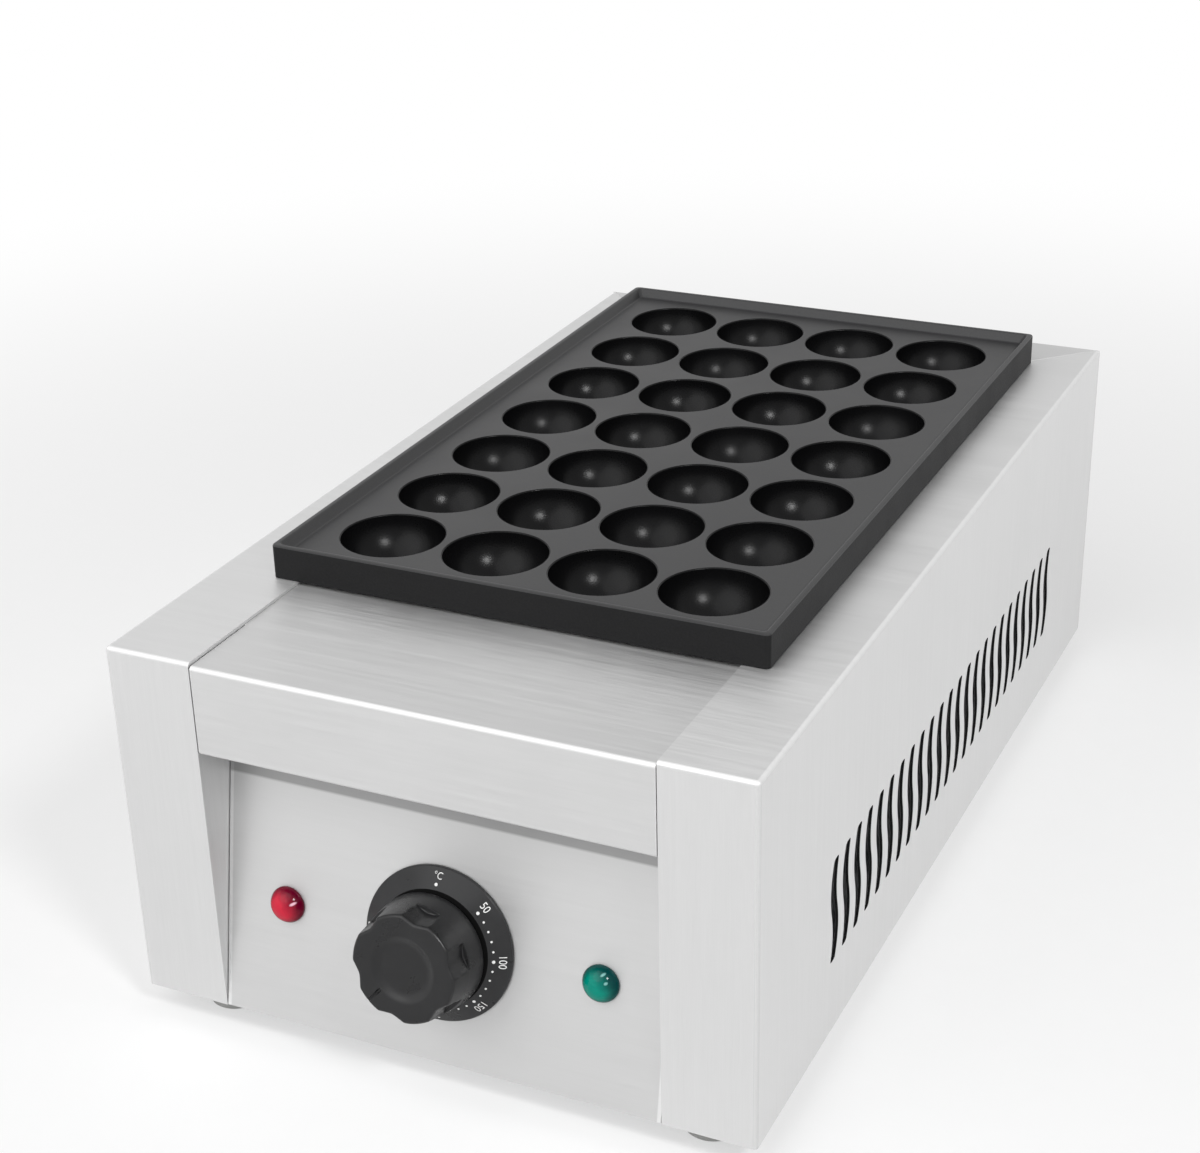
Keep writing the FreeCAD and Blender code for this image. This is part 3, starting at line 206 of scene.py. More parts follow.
def pulled(shape, edges):
    # extrudes edges and gives back the new vertices and the new edges
    made = bmesh.ops.extrude_edge_only(shape, edges=edges)["geom"]
    kinds = (bmesh.types.BMVert, bmesh.types.BMEdge)
    return [[item for item in made if isinstance(item, kind)] for kind in kinds]


def edgesOf(verts):
    return list({edge for vert in verts for edge in vert.link_edges})


def withParts(faces):
    # faces together with their edges and vertices
    return faces + list({e for f in faces for e in f.edges}) + list({v for f in faces for v in f.verts})


def fillBetween(shape, edges, up, right=0):
    # fills the flat area between closed loops of edges
    bmesh.ops.triangle_fill(shape, use_beauty=True, edges=edges, normal=(right, 0, up))


# stage: a pale floor that goes over into white far from the maker, and plain soft lamps
stageLook = {
    "floorColour": (0.86, 0.86, 0.86),
    "whiteNear": 0.5,
    "fadeFrom": 0.3,
    "fadeTo": 1.1,
    "ambient": 0.3,
    "duskAt": -0.27,
    "duskHalf": 0.2,
    "dusk": 0.74,
    "day": 1.06,
}


def seenRays(tree):
    # the kinds of ray, and 1 for one that comes from the eye, a mirror or glass
    ray = addNode(tree, "LightPath").outputs
    seen = maths(tree, "MAXIMUM", ray["Is Camera Ray"], ray["Is Glossy Ray"])
    return ray, maths(tree, "MAXIMUM", seen, ray["Is Transmission Ray"])


def makeFloor(look):
    shape = bmesh.new()
    bmesh.ops.create_circle(shape, cap_ends=True, segments=96, radius=14)
    mesh = meshFrom(shape, "floor")
    floor = newObject("floor", mesh)
    material, tree, shader = newFinish("paleFloor", look["floorColour"], 0.9)
    shader.inputs["Specular IOR Level"].default_value = 0.1
    tinted(tree, shader, look["floorColour"], spread(tree, noiseOver(tree, 60), 0.995, 1.005))
    place = addNode(tree, "TexCoord").outputs["Object"]
    away = addNode(tree, "VectorMath", {0: place}, operation="LENGTH").outputs["Value"]
    fade = spread(tree, away, look["whiteNear"], 1.0, look["fadeFrom"], look["fadeTo"], "SMOOTHSTEP")
    share = maths(tree, "MULTIPLY", fade, seenRays(tree)[1])
    white = addNode(tree, "Emission", {"Color": (1, 1, 1, 1), "Strength": 1.0})
    mix = addNode(tree, "MixShader", {0: share, 1: shader.outputs[0], 2: white.outputs[0]})
    tree.links.new(mix.outputs[0], tree.nodes["Material Output"].inputs["Surface"])
    mesh.materials.append(material)


def makeWorld(look):
    world = bpy.data.worlds.new("paleRoom")
    bpy.context.scene.world = world
    world.use_nodes = True
    tree = world.node_tree
    ray, seen = seenRays(tree)
    # mirrored in the steel, the room is a little darker behind the maker
    way = addNode(tree, "SeparateXYZ", {0: addNode(tree, "TexCoord").outputs["Generated"]}).outputs
    off = maths(tree, "ABSOLUTE", maths(tree, "SUBTRACT", way["X"], look["duskAt"]))
    room = spread(tree, off, look["dusk"], look["day"], 0.0, look["duskHalf"], "SMOOTHSTEP")
    behind = maths(tree, "GREATER_THAN", way["Y"], 0.0)
    room = maths(tree, "MULTIPLY_ADD", maths(tree, "SUBTRACT", room, 1.0), behind, 1.0)
    plain = maths(tree, "MAXIMUM", ray["Is Camera Ray"], ray["Is Transmission Ray"])
    glossy = maths(tree, "MULTIPLY", ray["Is Glossy Ray"], room)
    unseen = maths(tree, "MULTIPLY", maths(tree, "SUBTRACT", 1.0, seen), look["ambient"])
    strength = maths(tree, "ADD", maths(tree, "MAXIMUM", plain, glossy), unseen)
    back = tree.nodes["Background"]
    back.inputs["Color"].default_value = (1, 1, 1, 1)
    tree.links.new(strength, back.inputs["Strength"])


lampLook = {
    "overhead": {"place": (-0.4, -1.15, 1.5), "aim": (0, 0, 0.15), "size": 2.0, "power": 16.0},
    "frontLeft": {"place": (-0.9, -1.4, 0.8), "aim": (0, 0, 0.08), "size": 2.4, "power": 8.0},
    "right": {"place": (1.22, -0.98, 1.47), "aim": (0, 0, 0.08), "size": 0.4, "power": 19.0},
}


def hangLamps(looks):
    for name, look in looks.items():
        light = bpy.data.lights.new(name, "AREA")
        light.shape = "DISK"
        light.size = look["size"]
        light.energy = look["power"]
        lamp = newObject(name, light)
        lamp.location = look["place"]
        towards = Vector(look["aim"]) - Vector(look["place"])
        lamp.rotation_euler = towards.to_track_quat("-Z", "Y").to_euler()


makeFloor(stageLook)
makeWorld(stageLook)
hangLamps(lampLook)
print("stage set")


# brushed sheet: fine hairlines along one direction, a few longer streaks and faint clouds
sheetLook = {
    # the sheets are one steel, painted lighter on the side walls and darker on the front panel than on the
    # deck, fascia and back: painted light and shade
    "sideColourPaintedLighter": (0.73, 0.73, 0.73),
    "crossColour": (0.595, 0.595, 0.595),
    "panelColourPaintedDarker": (0.54, 0.54, 0.54),
    "roughness": 0.5,
    "stretch": 0.5,
    "hairline": 0.00028,
    "streak": 0.0016,
    "length": 45.0,
    "depth": 0.00002,
    "rolledEdge": 0.0004,
    # brighter colour of the folds and cut edges: a painted highlight
    "foldHighlightColour": (0.66, 0.66, 0.66),
    # tone of the upward faces: a painted shade that darkens the tops
    "sideTopShade": 0.82,
    "crossTopShade": 0.92,
    "narrow": 0.00135,
    # a painted shadow band on the front panel under the fascia's edge
    "lipHeight": 0.1079,
    "lipShade": 0.003,
    "lipShadowTone": 0.56,
    # a painted highlight along the front panel's side edges
    "panelEdge": 0.0877,
    "edgeHighlightTone": 1.25,
}


def lengthways(along, look):
    return tuple(1.0 / look["length"] if axis == along else 1.0 for axis in "xyz")


def brushedSheet(name, look, colour, along="x", alongTop=None, paintedLightBands=False):
    material, tree, shader = newFinish(name, colour, look["roughness"], 1.0)
    normal = addNode(tree, "NewGeometry").outputs["Normal"]
    facing = addNode(tree, "SeparateXYZ", {0: normal}).outputs["Z"]
    upward = maths(tree, "GREATER_THAN", maths(tree, "ABSOLUTE", facing), 0.7)

    def lines(width, detail):
        side = noiseOver(tree, 1 / width, detail, stretch=lengthways(along, look))
        if alongTop is None:
            return side
        flat = noiseOver(tree, 1 / width, detail, stretch=lengthways(alongTop, look))
        return addNode(tree, "Mix", {"Factor": upward, 2: side, 3: flat}).outputs[0]

    # the gloss spreads across the hairlines
    hair = addNode(tree, "CombineXYZ", {"X": upward if along == "z" else 1.0})
    if along == "z":
        tree.links.new(maths(tree, "SUBTRACT", 1.0, upward), hair.inputs["Z"])
    across = addNode(tree, "VectorMath", {0: normal, 1: hair.outputs[0]}, operation="CROSS_PRODUCT")
    tree.links.new(across.outputs[0], shader.inputs["Tangent"])
    shader.inputs["Anisotropic"].default_value = look["stretch"]

    fine = lines(look["hairline"], 2.0)
    broad = lines(look["streak"], 3.0)
    cloud = noiseOver(tree, 18, 2.0)
    both = maths(tree, "MULTIPLY_ADD", broad, 0.5, maths(tree, "MULTIPLY", fine, 0.5))
    # the flat tops are painted darker than the sides, a painted shade
    top = look["sideTopShade"] if along == "z" else look["crossTopShade"]
    tone = maths(tree, "MULTIPLY", spread(tree, both, 0.96, 1.03), spread(tree, upward, 1.0, top, 0.0, 1.0))
    if paintedLightBands:
        # a painted shadow in the band just below the fascia, where the panel draws back
        place = addNode(tree, "SeparateXYZ", {0: addNode(tree, "TexCoord").outputs["Object"]}).outputs
        low, edge = look["lipHeight"] - look["lipShade"], look["panelEdge"]
        lip = spread(tree, place["Z"], 1.0, look["lipShadowTone"], low - 0.0004, low + 0.0006)
        # and a painted highlight along the edges beside the pillars
        beside = maths(tree, "ABSOLUTE", place["X"])
        paintedEdgeHighlight = spread(tree, beside, 1.0, look["edgeHighlightTone"], edge - 0.0002, edge + 0.0002)
        tone = maths(tree, "MULTIPLY", maths(tree, "MULTIPLY", tone, lip), paintedEdgeHighlight)
    tinted(tree, shader, colour, tone)
    rough = maths(tree, "ADD", spread(tree, both, -0.05, 0.06), spread(tree, cloud, -0.02, 0.03))
    roughened(tree, shader, maths(tree, "ADD", rough, look["roughness"]))
    bumped(tree, shader, both, 0.35, look["depth"])
    return material


sideSteel = brushedSheet("sideSteel", sheetLook, sheetLook["sideColourPaintedLighter"], "z", "x")
crossSteel = brushedSheet("crossSteel", sheetLook, sheetLook["crossColour"], "x")
panelSteel = brushedSheet("panelSteel", sheetLook, sheetLook["panelColourPaintedDarker"], "x", paintedLightBands=True)
# folds and cut edges: a brighter steel, a painted highlight
foldHighlightLook = {**sheetLook, "roughness": 0.68, "stretch": 0.0, "crossTopShade": 1.0}
foldHighlightSteel = brushedSheet("foldHighlightSteel", foldHighlightLook, sheetLook["foldHighlightColour"], "x")

# air slots of the side walls: wavy, widest at their middle, with round ends
slotLook = {
    "count": 24,
    "pitch": 12.4,
    "middleY": 1.0,
    "middleZ": 64.45,
    "reach": 21.7,
    "leanIn": -6.5,
    "leanOut": 7.6,
    "shift": -0.9,
    "broad": 3.3,
    "taper": 0.85,
    "endShare": 0.965,
    "steps": 56,
    "outer": 125.0,
    "inner": 123.8,
}


def recutSlots(shape, side, look):
    # takes the slots' walls and both faces of the wall away and makes them again
    outer, inner = (x * side for x in mm(look, "outer", "inner"))
    middleZ, reach, pitch = mm(look, "middleZ", "reach", "pitch")
    first = (look["middleY"] - look["pitch"] * (look["count"] - 1) / 2) / 1000

    def inZone(vert):
        along = first - pitch < vert.co.y < first + pitch * look["count"]
        return along and abs(vert.co.z - middleZ) < reach + 0.001

    def onPlane(item, x):
        return all(abs(vert.co.x - x) < 2e-6 for vert in item.verts)

    going = {f for f in shape.faces if abs(f.normal.x) < 0.1 and all(map(inZone, f.verts))}
    for x in (outer, inner):
        wave = [f for f in shape.faces if onPlane(f, x) and any(map(inZone, f.verts))]
        while wave:
            going.update(wave)
            near = {n for f in wave for edge in f.edges for n in edge.link_faces}
            wave = [f for f in near if f not in going and onPlane(f, x)]
    bmesh.ops.delete(shape, geom=list(going), context="FACES")
    torn = [edge for edge in shape.edges if edge.is_boundary]
    outerRim, innerRim = ([edge for edge in torn if onPlane(edge, x)] for x in (outer, inner))
    for number in range(look["count"]):
        made = bmesh.ops.create_circle(shape, segments=look["steps"], radius=1)["verts"]
        for vert in made:
            share, towards = vert.co.y, math.copysign(1, vert.co.x)
            far = abs(share)
            over = max(far - look["endShare"], 0) / (1 - look["endShare"])
            width = (look["broad"] - look["taper"] * far) * math.sqrt(max(1 - over * over, 0))
            middle = (look["leanIn"] * far + look["leanOut"] * far * far) * math.copysign(1, share)
            y = first + pitch * number + (look["shift"] + middle + towards * width) / 1000
            vert.co = (outer, y, middleZ + share * reach)
        edges = edgesOf(made)
        verts, rim = pulled(shape, edges)
        for vert in verts:
            vert.co.x = inner
        # the slot walls take the painted shade
        for face in {face for edge in edges for face in edge.link_faces}:
            face.material_index = 2
        outerRim += edges
        innerRim += rim
    fillBetween(shape, outerRim, 0, side)
    fillBetween(shape, innerRim, 0, -side)
    bmesh.ops.recalc_face_normals(shape, faces=shape.faces)


def sheetPiece(name, node, material, look, slot):
    # a folded sheet with its cut edges rolled over a little, as a guillotine leaves them
    shape = bmesh.new()
    shape.from_mesh(nodes[node].data)
    bmesh.ops.remove_doubles(shape, verts=shape.verts, dist=1e-6)
    nearlyFlat = math.radians(0.3)
    bmesh.ops.dissolve_limit(shape, angle_limit=nearlyFlat, verts=shape.verts, edges=shape.edges)
    # folds and cut edges get the fold finish, a painted highlight that makes them brighter than the flats
    for face in shape.faces:
        level = any(len(e.link_faces) == 2 and e.calc_face_angle() < 0.01 for e in face.edges)
        if not level and face.calc_area() / max(e.calc_length() for e in face.edges) < look["narrow"]:
            face.material_index = 1
    if slot == "side_sheet":
        recutSlots(shape, 1 if name == "rightSide" else -1, slotLook)
    sharp = [e for e in shape.edges if len(e.link_faces) == 2 and e.calc_face_angle() > math.radians(50)]
    # the rolled cut edges take the painted highlight as well
    for face in bevelled(shape, sharp, look["rolledEdge"]):
        face.material_index = 1
    piece = finishPiece(shape, name, [material, foldHighlightSteel, slotShade], "cooker", even=True)
    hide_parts(node)


# cut faces of the slots are painted near black, a painted shade that makes the slots read dark
slotShadeLook = {"patches": (300, 3.0), "shades": (0.7, 1.2), "change": (-0.1, 0.1), "gloss": 0.1}
slotShade = patchyFinish("slotShade", (0.012, 0.012, 0.013), 0.6, **slotShadeLook)
for name, node, material, slot in (
    ("leftSide", "side_panel_left", sideSteel, "side_sheet"),
    ("rightSide", "side_panel_right", sideSteel, "side_sheet"),
    ("back", "rear_panel", crossSteel, "rear_sheet"),
    ("deckAndFascia", "hood", crossSteel, "hood_sheet"),
    ("frontPanel", "control_panel", panelSteel, "panel_sheet"),
):
    sheetPiece(name, node, material, sheetLook, slot)
print("housing sheets made")

# cast plate: black coat that is smooth in the tray and the cups and grainy on the skirt; the cups and the
# skirt get darker copies of the tray's coat, a painted shade; the grain and its depth are in millimetres
plateLook = {
    "tray": {"colour": (0.030, 0.030, 0.031), "rough": 0.4, "gloss": 0.3, "grain": 0.6, "depth": 0.03},
    "cup": {"colour": (0.0035, 0.0035, 0.0038), "rough": 0.25, "gloss": 0.12, "grain": 0.7, "depth": 0.06},
    "skirt": {"colour": (0.009, 0.009, 0.0095), "rough": 0.5, "gloss": 0.14, "grain": 0.9, "depth": 0.12},
}


def castCoat(name, look):
    colour, rough = look["colour"], look["rough"]
    material, tree, shader = newFinish(name, colour, rough)
    shader.inputs["Specular IOR Level"].default_value = look["gloss"]
    fine = noiseOver(tree, 1000 / look["grain"], 4.0, 0.6)
    cloud = noiseOver(tree, 30)
    shade = maths(tree, "MULTIPLY", spread(tree, fine, 0.85, 1.15), spread(tree, cloud, 0.9, 1.1))
    tinted(tree, shader, colour, shade)
    roughened(tree, shader, spread(tree, cloud, rough - 0.04, rough + 0.04))
    bumped(tree, shader, fine, 0.6, look["depth"] / 1000)
    return material


plateCoats = [castCoat(part + "Coat", look) for part, look in plateLook.items()]

# sizes of the plate in millimetres, measured from its own middle
plateShape = {
    "halfWidth": 100.0,
    "halfLength": 167.5,
    "corner": 2.0,
    "middleY": 22.5,
    "bottom": 157.0,
    "rim": 170.5,
    "floor": 166.7,
    "under": 161.7,
    "rimTop": 2.3,
    "slopeFoot": 4.67,
    "skirt": 7.0,
    "cupAcross": (-66, -22, 22, 66),
    "cupAlong": (-135, -90, -45, 0, 45, 90, 135),
    "mouth": 20.0,
    "bowl": 18.5,
    "flat": 1.5,
    "lip": 0.55,
    "webHalf": 21.2,
    "webSlope": 0.354,
    "webBottom": 146.15,
}


def roundedLoop(shape, halfWidth, halfLength, corner, height):
    # a closed loop of edges, its corners rounded
    verts = bmesh.ops.create_grid(shape, x_segments=1, y_segments=1, size=1)["verts"]
    bmesh.ops.scale(shape, verts=verts, vec=(halfWidth, halfLength, 1))
    bevelled(shape, verts, corner, 6, "VERTICES")
    face = next(iter(shape.faces))
    edges = list(face.edges)
    bmesh.ops.translate(shape, verts=list(face.verts), vec=(0, 0, height))
    bmesh.ops.delete(shape, geom=[face], context="FACES_ONLY")
    return edges


def stepLoop(shape, edges, inward, height):
    # extrudes a loop to a new height, moved inwards from each side by the same amount
    verts, edges = pulled(shape, edges)
    for vert in verts:
        vert.co.x -= math.copysign(inward, vert.co.x)
        vert.co.y -= math.copysign(inward, vert.co.y)
        vert.co.z = height
    return edges


def castPlate(size):
    shape = bmesh.new()
    halfX, halfY, corner = mm(size, "halfWidth", "halfLength", "corner")
    rim, floor, bottom, under = mm(size, "rim", "floor", "bottom", "under")
    rimTop, foot, skirt = mm(size, "rimTop", "slopeFoot", "skirt")
    outer = roundedLoop(shape, halfX, halfY, corner, bottom + 0.0003)
    edges = stepLoop(shape, outer, 0, rim - 0.0006)
    # over the rim: outer round, flat top, inner round, slope, fillet at the floor
    over = [(0.00018, rim - 0.00018), (0.00042, rim), (rimTop - 0.0012, rim)]
    over += [(0.0004, rim - 0.0001), (0.0003, rim - 0.0004)]
    over += [(foot - rimTop - 0.0007, floor + 0.0005), (0.0004, floor + 0.00015), (0.0006, floor)]
    for inward, height in over:
        edges = stepLoop(shape, edges, inward, height)
    # the cups: one spun bowl, repeated across and along
    mouth, bowl, flat, lip = mm(size, "mouth", "bowl", "flat", "lip")
    profile = arc((mouth + lip, -lip), lip, 90, 172, 4)
    profile += arc((flat, 0), bowl, -2.2, -90, 16) + [(0.0, -bowl)]
    bowlMesh = meshFrom(turnedShape(profile, 72, closed=False), "bowl")
    for x in size["cupAcross"]:
        for y in size["cupAlong"]:
            known = len(shape.verts)
            shape.from_mesh(bowlMesh)
            shape.verts.ensure_lookup_table()
            verts = shape.verts[known:]
            bmesh.ops.translate(shape, verts=verts, vec=(x / 1000, y / 1000, floor))
            for face in {face for vert in verts for face in vert.link_faces}:
                face.material_index = 1
            edges += [edge for edge in edgesOf(verts) if edge.is_boundary]
    fillBetween(shape, edges, 1)
    # under the tray: skirt foot, inner wall, flat underside with four webs
    lower = outer
    for inward, height in ((0.0003, bottom), (skirt - 0.0003, bottom), (0.0, under)):
        lower = stepLoop(shape, lower, inward, height)
    for x in size["cupAcross"]:
        lower += columnWeb(shape, size, x / 1000)
    fillBetween(shape, lower, -1)
    bmesh.ops.remove_doubles(shape, verts=shape.verts, dist=2e-6)
    bmesh.ops.recalc_face_normals(shape, faces=shape.faces)
    for face in shape.faces:
        centre = face.calc_center_median()
        low = centre.z < floor - 0.0001
        outside = abs(centre.x) > halfX - 0.0005 or abs(centre.y) > halfY - 0.0005
        if face.material_index == 0 and (low or (outside and abs(face.normal.z) < 0.3)):
            face.material_index = 2
    bmesh.ops.translate(shape, verts=shape.verts, vec=(0, size["middleY"] / 1000, 0))
    piece = finishPiece(shape, "castPlate", plateCoats, "cooker", 40, even=True)
    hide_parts("cooking_plate")


def columnWeb(shape, size, x):
    # a long bar with round ends below one column of cups, drawn in towards its foot
    half, under, low = mm(size, "webHalf", "under", "webBottom")
    reach = size["cupAlong"][-1] / 1000
    made = bmesh.ops.create_circle(shape, segments=48, radius=half)["verts"]
    halfStep = Matrix.Rotation(math.tau / 96, 3, "Z")
    bmesh.ops.rotate(shape, verts=made, cent=(0, 0, 0), matrix=halfStep)
    bmesh.ops.translate(shape, verts=made, vec=(0, 0, under))
    top = edgesOf(made)
    ring, bottomEdges = pulled(shape, top)
    drawn = 1 - (under - 0.001 - low) * size["webSlope"] / half
    bmesh.ops.scale(shape, verts=ring, vec=(drawn, drawn, 1))
    bmesh.ops.translate(shape, verts=ring, vec=(0, 0, low - under))
    for vert in made + ring:
        vert.co.y += math.copysign(reach, vert.co.y)
        vert.co.x += x
    bmesh.ops.edgeloop_fill(shape, edges=bottomEdges)
    return top


castPlate(plateShape)
print("cast plate made")

# everything on the sloping panel is made flat, across, up and out, and then laid on it
turn = frame["joints"][0]
rightward, outward = Vector((1, 0, 0)), Vector(turn["axis"])
upward = outward.cross(rightward)
dialTurn = Matrix((rightward, upward, outward)).transposed().to_4x4()
dialPlace = Matrix.Translation(turn["pos_m"]) @ dialTurn

# phenolic plastic: nearly black, satin, with a fine moulded grain and faint swirls
plasticLook = {
    "dial": {"colour": (0.026, 0.026, 0.027), "rough": 0.32, "gloss": 0.18},
    "knob": {"colour": (0.0135, 0.0135, 0.0142), "rough": 0.3, "gloss": 0.3},
    # near black for the dial below the knob's skirt: a painted shade
    "gapShade": {"colour": (0.004, 0.004, 0.004), "rough": 0.7, "gloss": 0.03},
    "black": {"colour": (0.02, 0.02, 0.021), "rough": 0.45, "gloss": 0.5},
    "white": {"colour": (0.7, 0.7, 0.67), "rough": 0.4, "gloss": 0.5},
}
plasticGrain = {"noise": (4000, 2.0, 0.5), "strength": 0.5, "depth": 0.000012}


def mouldedPlastic(name, look):
    swirl, shades, change, gloss = (90, 4.0, 0.6), (0.9, 1.12), (-0.05, 0.06), look["gloss"]
    return patchyFinish(name, look["colour"], look["rough"], swirl, shades, change, 0.0, gloss, plasticGrain)


dialPlastic, knobPlastic, gapShadePlastic = (
    mouldedPlastic(part + "Plastic", plasticLook[part]) for part in ("dial", "knob", "gapShade")
)

dialShape = {
    "outer": 29.6,
    "rim": 1.6,
    "crestRadius": 20.6,
    "crest": 6.6,
    "underKnob": 22.2,
    "wall": 1.5,
    "web": 2.0,
    "hole": 8.0,
}


def dialBezel(size):
    outer, rim, crestRadius, crest = mm(size, "outer", "rim", "crestRadius", "crest")
    wall, web, hole, under = mm(size, "wall", "web", "hole", "underKnob")
    inner = crestRadius - wall
    profile = [(hole, 0), (outer - 0.0003, 0), (outer, 0.0003)]
    profile += arc((outer - 0.0007, rim - 0.0006), 0.0007, 0, 60, 5)
    share = (under - crestRadius) / (profile[-1][0] - crestRadius)
    profile.append((under, crest + (profile[-1][1] - crest) * share))
    profile += arc((crestRadius, crest - 0.0006), 0.0006, 62, 118, 4)
    profile += [(inner, crest - 0.0004), (inner, web + 0.0003), (inner - 0.0003, web), (hole, web)]
    shape = turnedShape(profile, 128)
    # the part below the knob's skirt is painted near black: a painted shade in the gap
    for face in shape.faces:
        middle = face.calc_center_median()
        if math.hypot(middle.x, middle.y) < under and middle.z > web:
            face.material_index = 1
    piece = finishPiece(shape, "dialRing", [dialPlastic, gapShadePlastic], "cooker", 30, dialPlace)
    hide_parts("dial_ring")


dialBezel(dialShape)
print("dial ring made")

# scale on the dial: clockwise from the top, a dot each ten degrees and a number each fifty
scaleLook = {
    "ink": (0.8, 0.8, 0.79),
    "numbers": (50, 100, 150, 200, 250, 300),
    "perNumber": 45.0,
    "numberRadius": 26.75,
    "numberHeight": 2.9,
    "squeeze": 0.86,
    "dotRadius": 24.0,
    "bigDot": 0.62,
    "smallDot": 0.42,
    "lift": 0.03,
}


def textMesh(words, height, squeeze):
    curve = bpy.data.curves.new("words", "FONT")
    curve.body = words
    curve.align_x = "CENTER"
    curve.align_y = "CENTER"
    curve.size = height / 1000 / 0.7
    writer = newObject("words", curve)
    bpy.context.view_layer.update()
    mesh = bpy.data.meshes.new_from_object(writer)
    bpy.data.objects.remove(writer)
    shape = bmesh.new()
    shape.from_mesh(mesh)
    bmesh.ops.scale(shape, verts=shape.verts, vec=(squeeze, 1, 1))
    return shape


def ontoCone(shape, angle, radius, size, lift):
    # lays a flat mark on the sloping face of the dial, its top outwards
    slope = (size["crest"] - size["rim"]) / (size["outer"] - size["crestRadius"])
    lean = math.hypot(1, slope)
    for vert in shape.verts:
        along, up = vert.co.x, vert.co.y
        out = radius / 1000 + up / lean
        turned = math.radians(angle) + along * 1000 / radius
        height = size["rim"] / 1000 + (size["outer"] / 1000 - out) * slope + lift / 1000
        vert.co = (out * math.sin(turned), out * math.cos(turned), height)


def dialScale(look, size):
    ink = patchyFinish("dialInk", look["ink"], 0.5, (900, 4.0, 0.7), (0.86, 1.06), (-0.08, 0.1))
    whole = bmesh.new()

    def stamp(shape, angle, radius):
        long = [edge for edge in shape.edges if edge.calc_length() > 0.0006]
        bmesh.ops.subdivide_edges(shape, edges=long, cuts=2)
        ontoCone(shape, angle, radius, size, look["lift"])
        whole.from_mesh(meshFrom(shape, "mark"))

    def dot(angle, radius):
        shape = bmesh.new()
        bmesh.ops.create_circle(shape, cap_ends=True, segments=20, radius=radius / 1000)
        stamp(shape, angle, look["dotRadius"])

    dot(0, look["bigDot"])
    stamp(textMesh("\u00b0C", look["numberHeight"] * 0.9, look["squeeze"]), 0, look["numberRadius"])
    for count, number in enumerate(look["numbers"], 1):
        angle = look["perNumber"] * count
        stamp(textMesh(str(number), look["numberHeight"], look["squeeze"]), angle, look["numberRadius"])
        dot(angle, look["bigDot"])
        if count > 1:
            for step in range(1, 5):
                dot(angle - look["perNumber"] * step / 5, look["smallDot"])
    piece = finishPiece(whole, "dialScale", [ink], "cooker", 30, dialPlace)


dialScale(scaleLook, dialShape)
print("dial scale printed")

# control knob: a drawn-in body, finger grooves that run out short of the skirt, a dished face;
# flat and dish are the radii of its rings from the edge inwards, sunk is how deep the dish's lie
knobShape = {
    "grooves": 6,
    "perGroove": 40,
    "skirt": 22.0,
    "low": 8.3,
    "skirtTop": 11.0,
    "face": 27.3,
    "faceRadius": 20.3,
    "grooveRadius": 18.3,
    "grooveHalf": 5.3,
    "grooveRise": 1.3,
    "grooveEnd": 17.5,
    "grooveDraft": 5.0,
    "soften": 0.18,
    "levels": (19.0, 20.5, 22.0, 23.5, 25.0),
    "flat": (16.9, 15.5, 14.2),
    "dish": (12.9, 12.5, 12.1, 11.4, 10.5, 9.8, 9.1, 8.3),
    "sunk": (0.0, 0.05, 0.16, 0.5, 0.95, 1.22, 1.36, 1.4),
    "cavity": 15.5,
    "roof": 22.0,
    "pointer": -132.0,
    "notchFrom": 12.6,
    "notchWidth": 1.5,
    "notchDepth": 0.85,
}


def knobRadius(size, angle, height):
    # how far the wall stands from the axis: the drawn-in body, or less inside a finger groove
    drawn = (size["skirt"] - size["faceRadius"]) / (size["face"] - 1 - size["skirtTop"])
    full = size["skirt"] - max(height - size["skirtTop"], 0) * drawn
    if height < size["grooveEnd"]:
        return full
    pitch = math.tau / size["grooves"]
    off = abs((angle - math.radians(size["pointer"])) % pitch - pitch / 2)
    sunk = (size["face"] + 1 - height) * math.tan(math.radians(size["grooveDraft"]))
    if off > math.asin((size["grooveHalf"] - sunk + 0.1) / (full - 0.3)):
        return full
    slope = size["grooveRise"] / size["grooveHalf"]
    bottom = size["grooveRadius"] + sunk * math.hypot(1, slope)
    wall = bottom / (math.cos(off) - slope * (math.hypot(math.sin(off), 0.05) - 0.05))
    blend = max(size["soften"] - abs(full - wall), 0) / size["soften"]
    return min(full, wall) - blend * blend * size["soften"] / 4


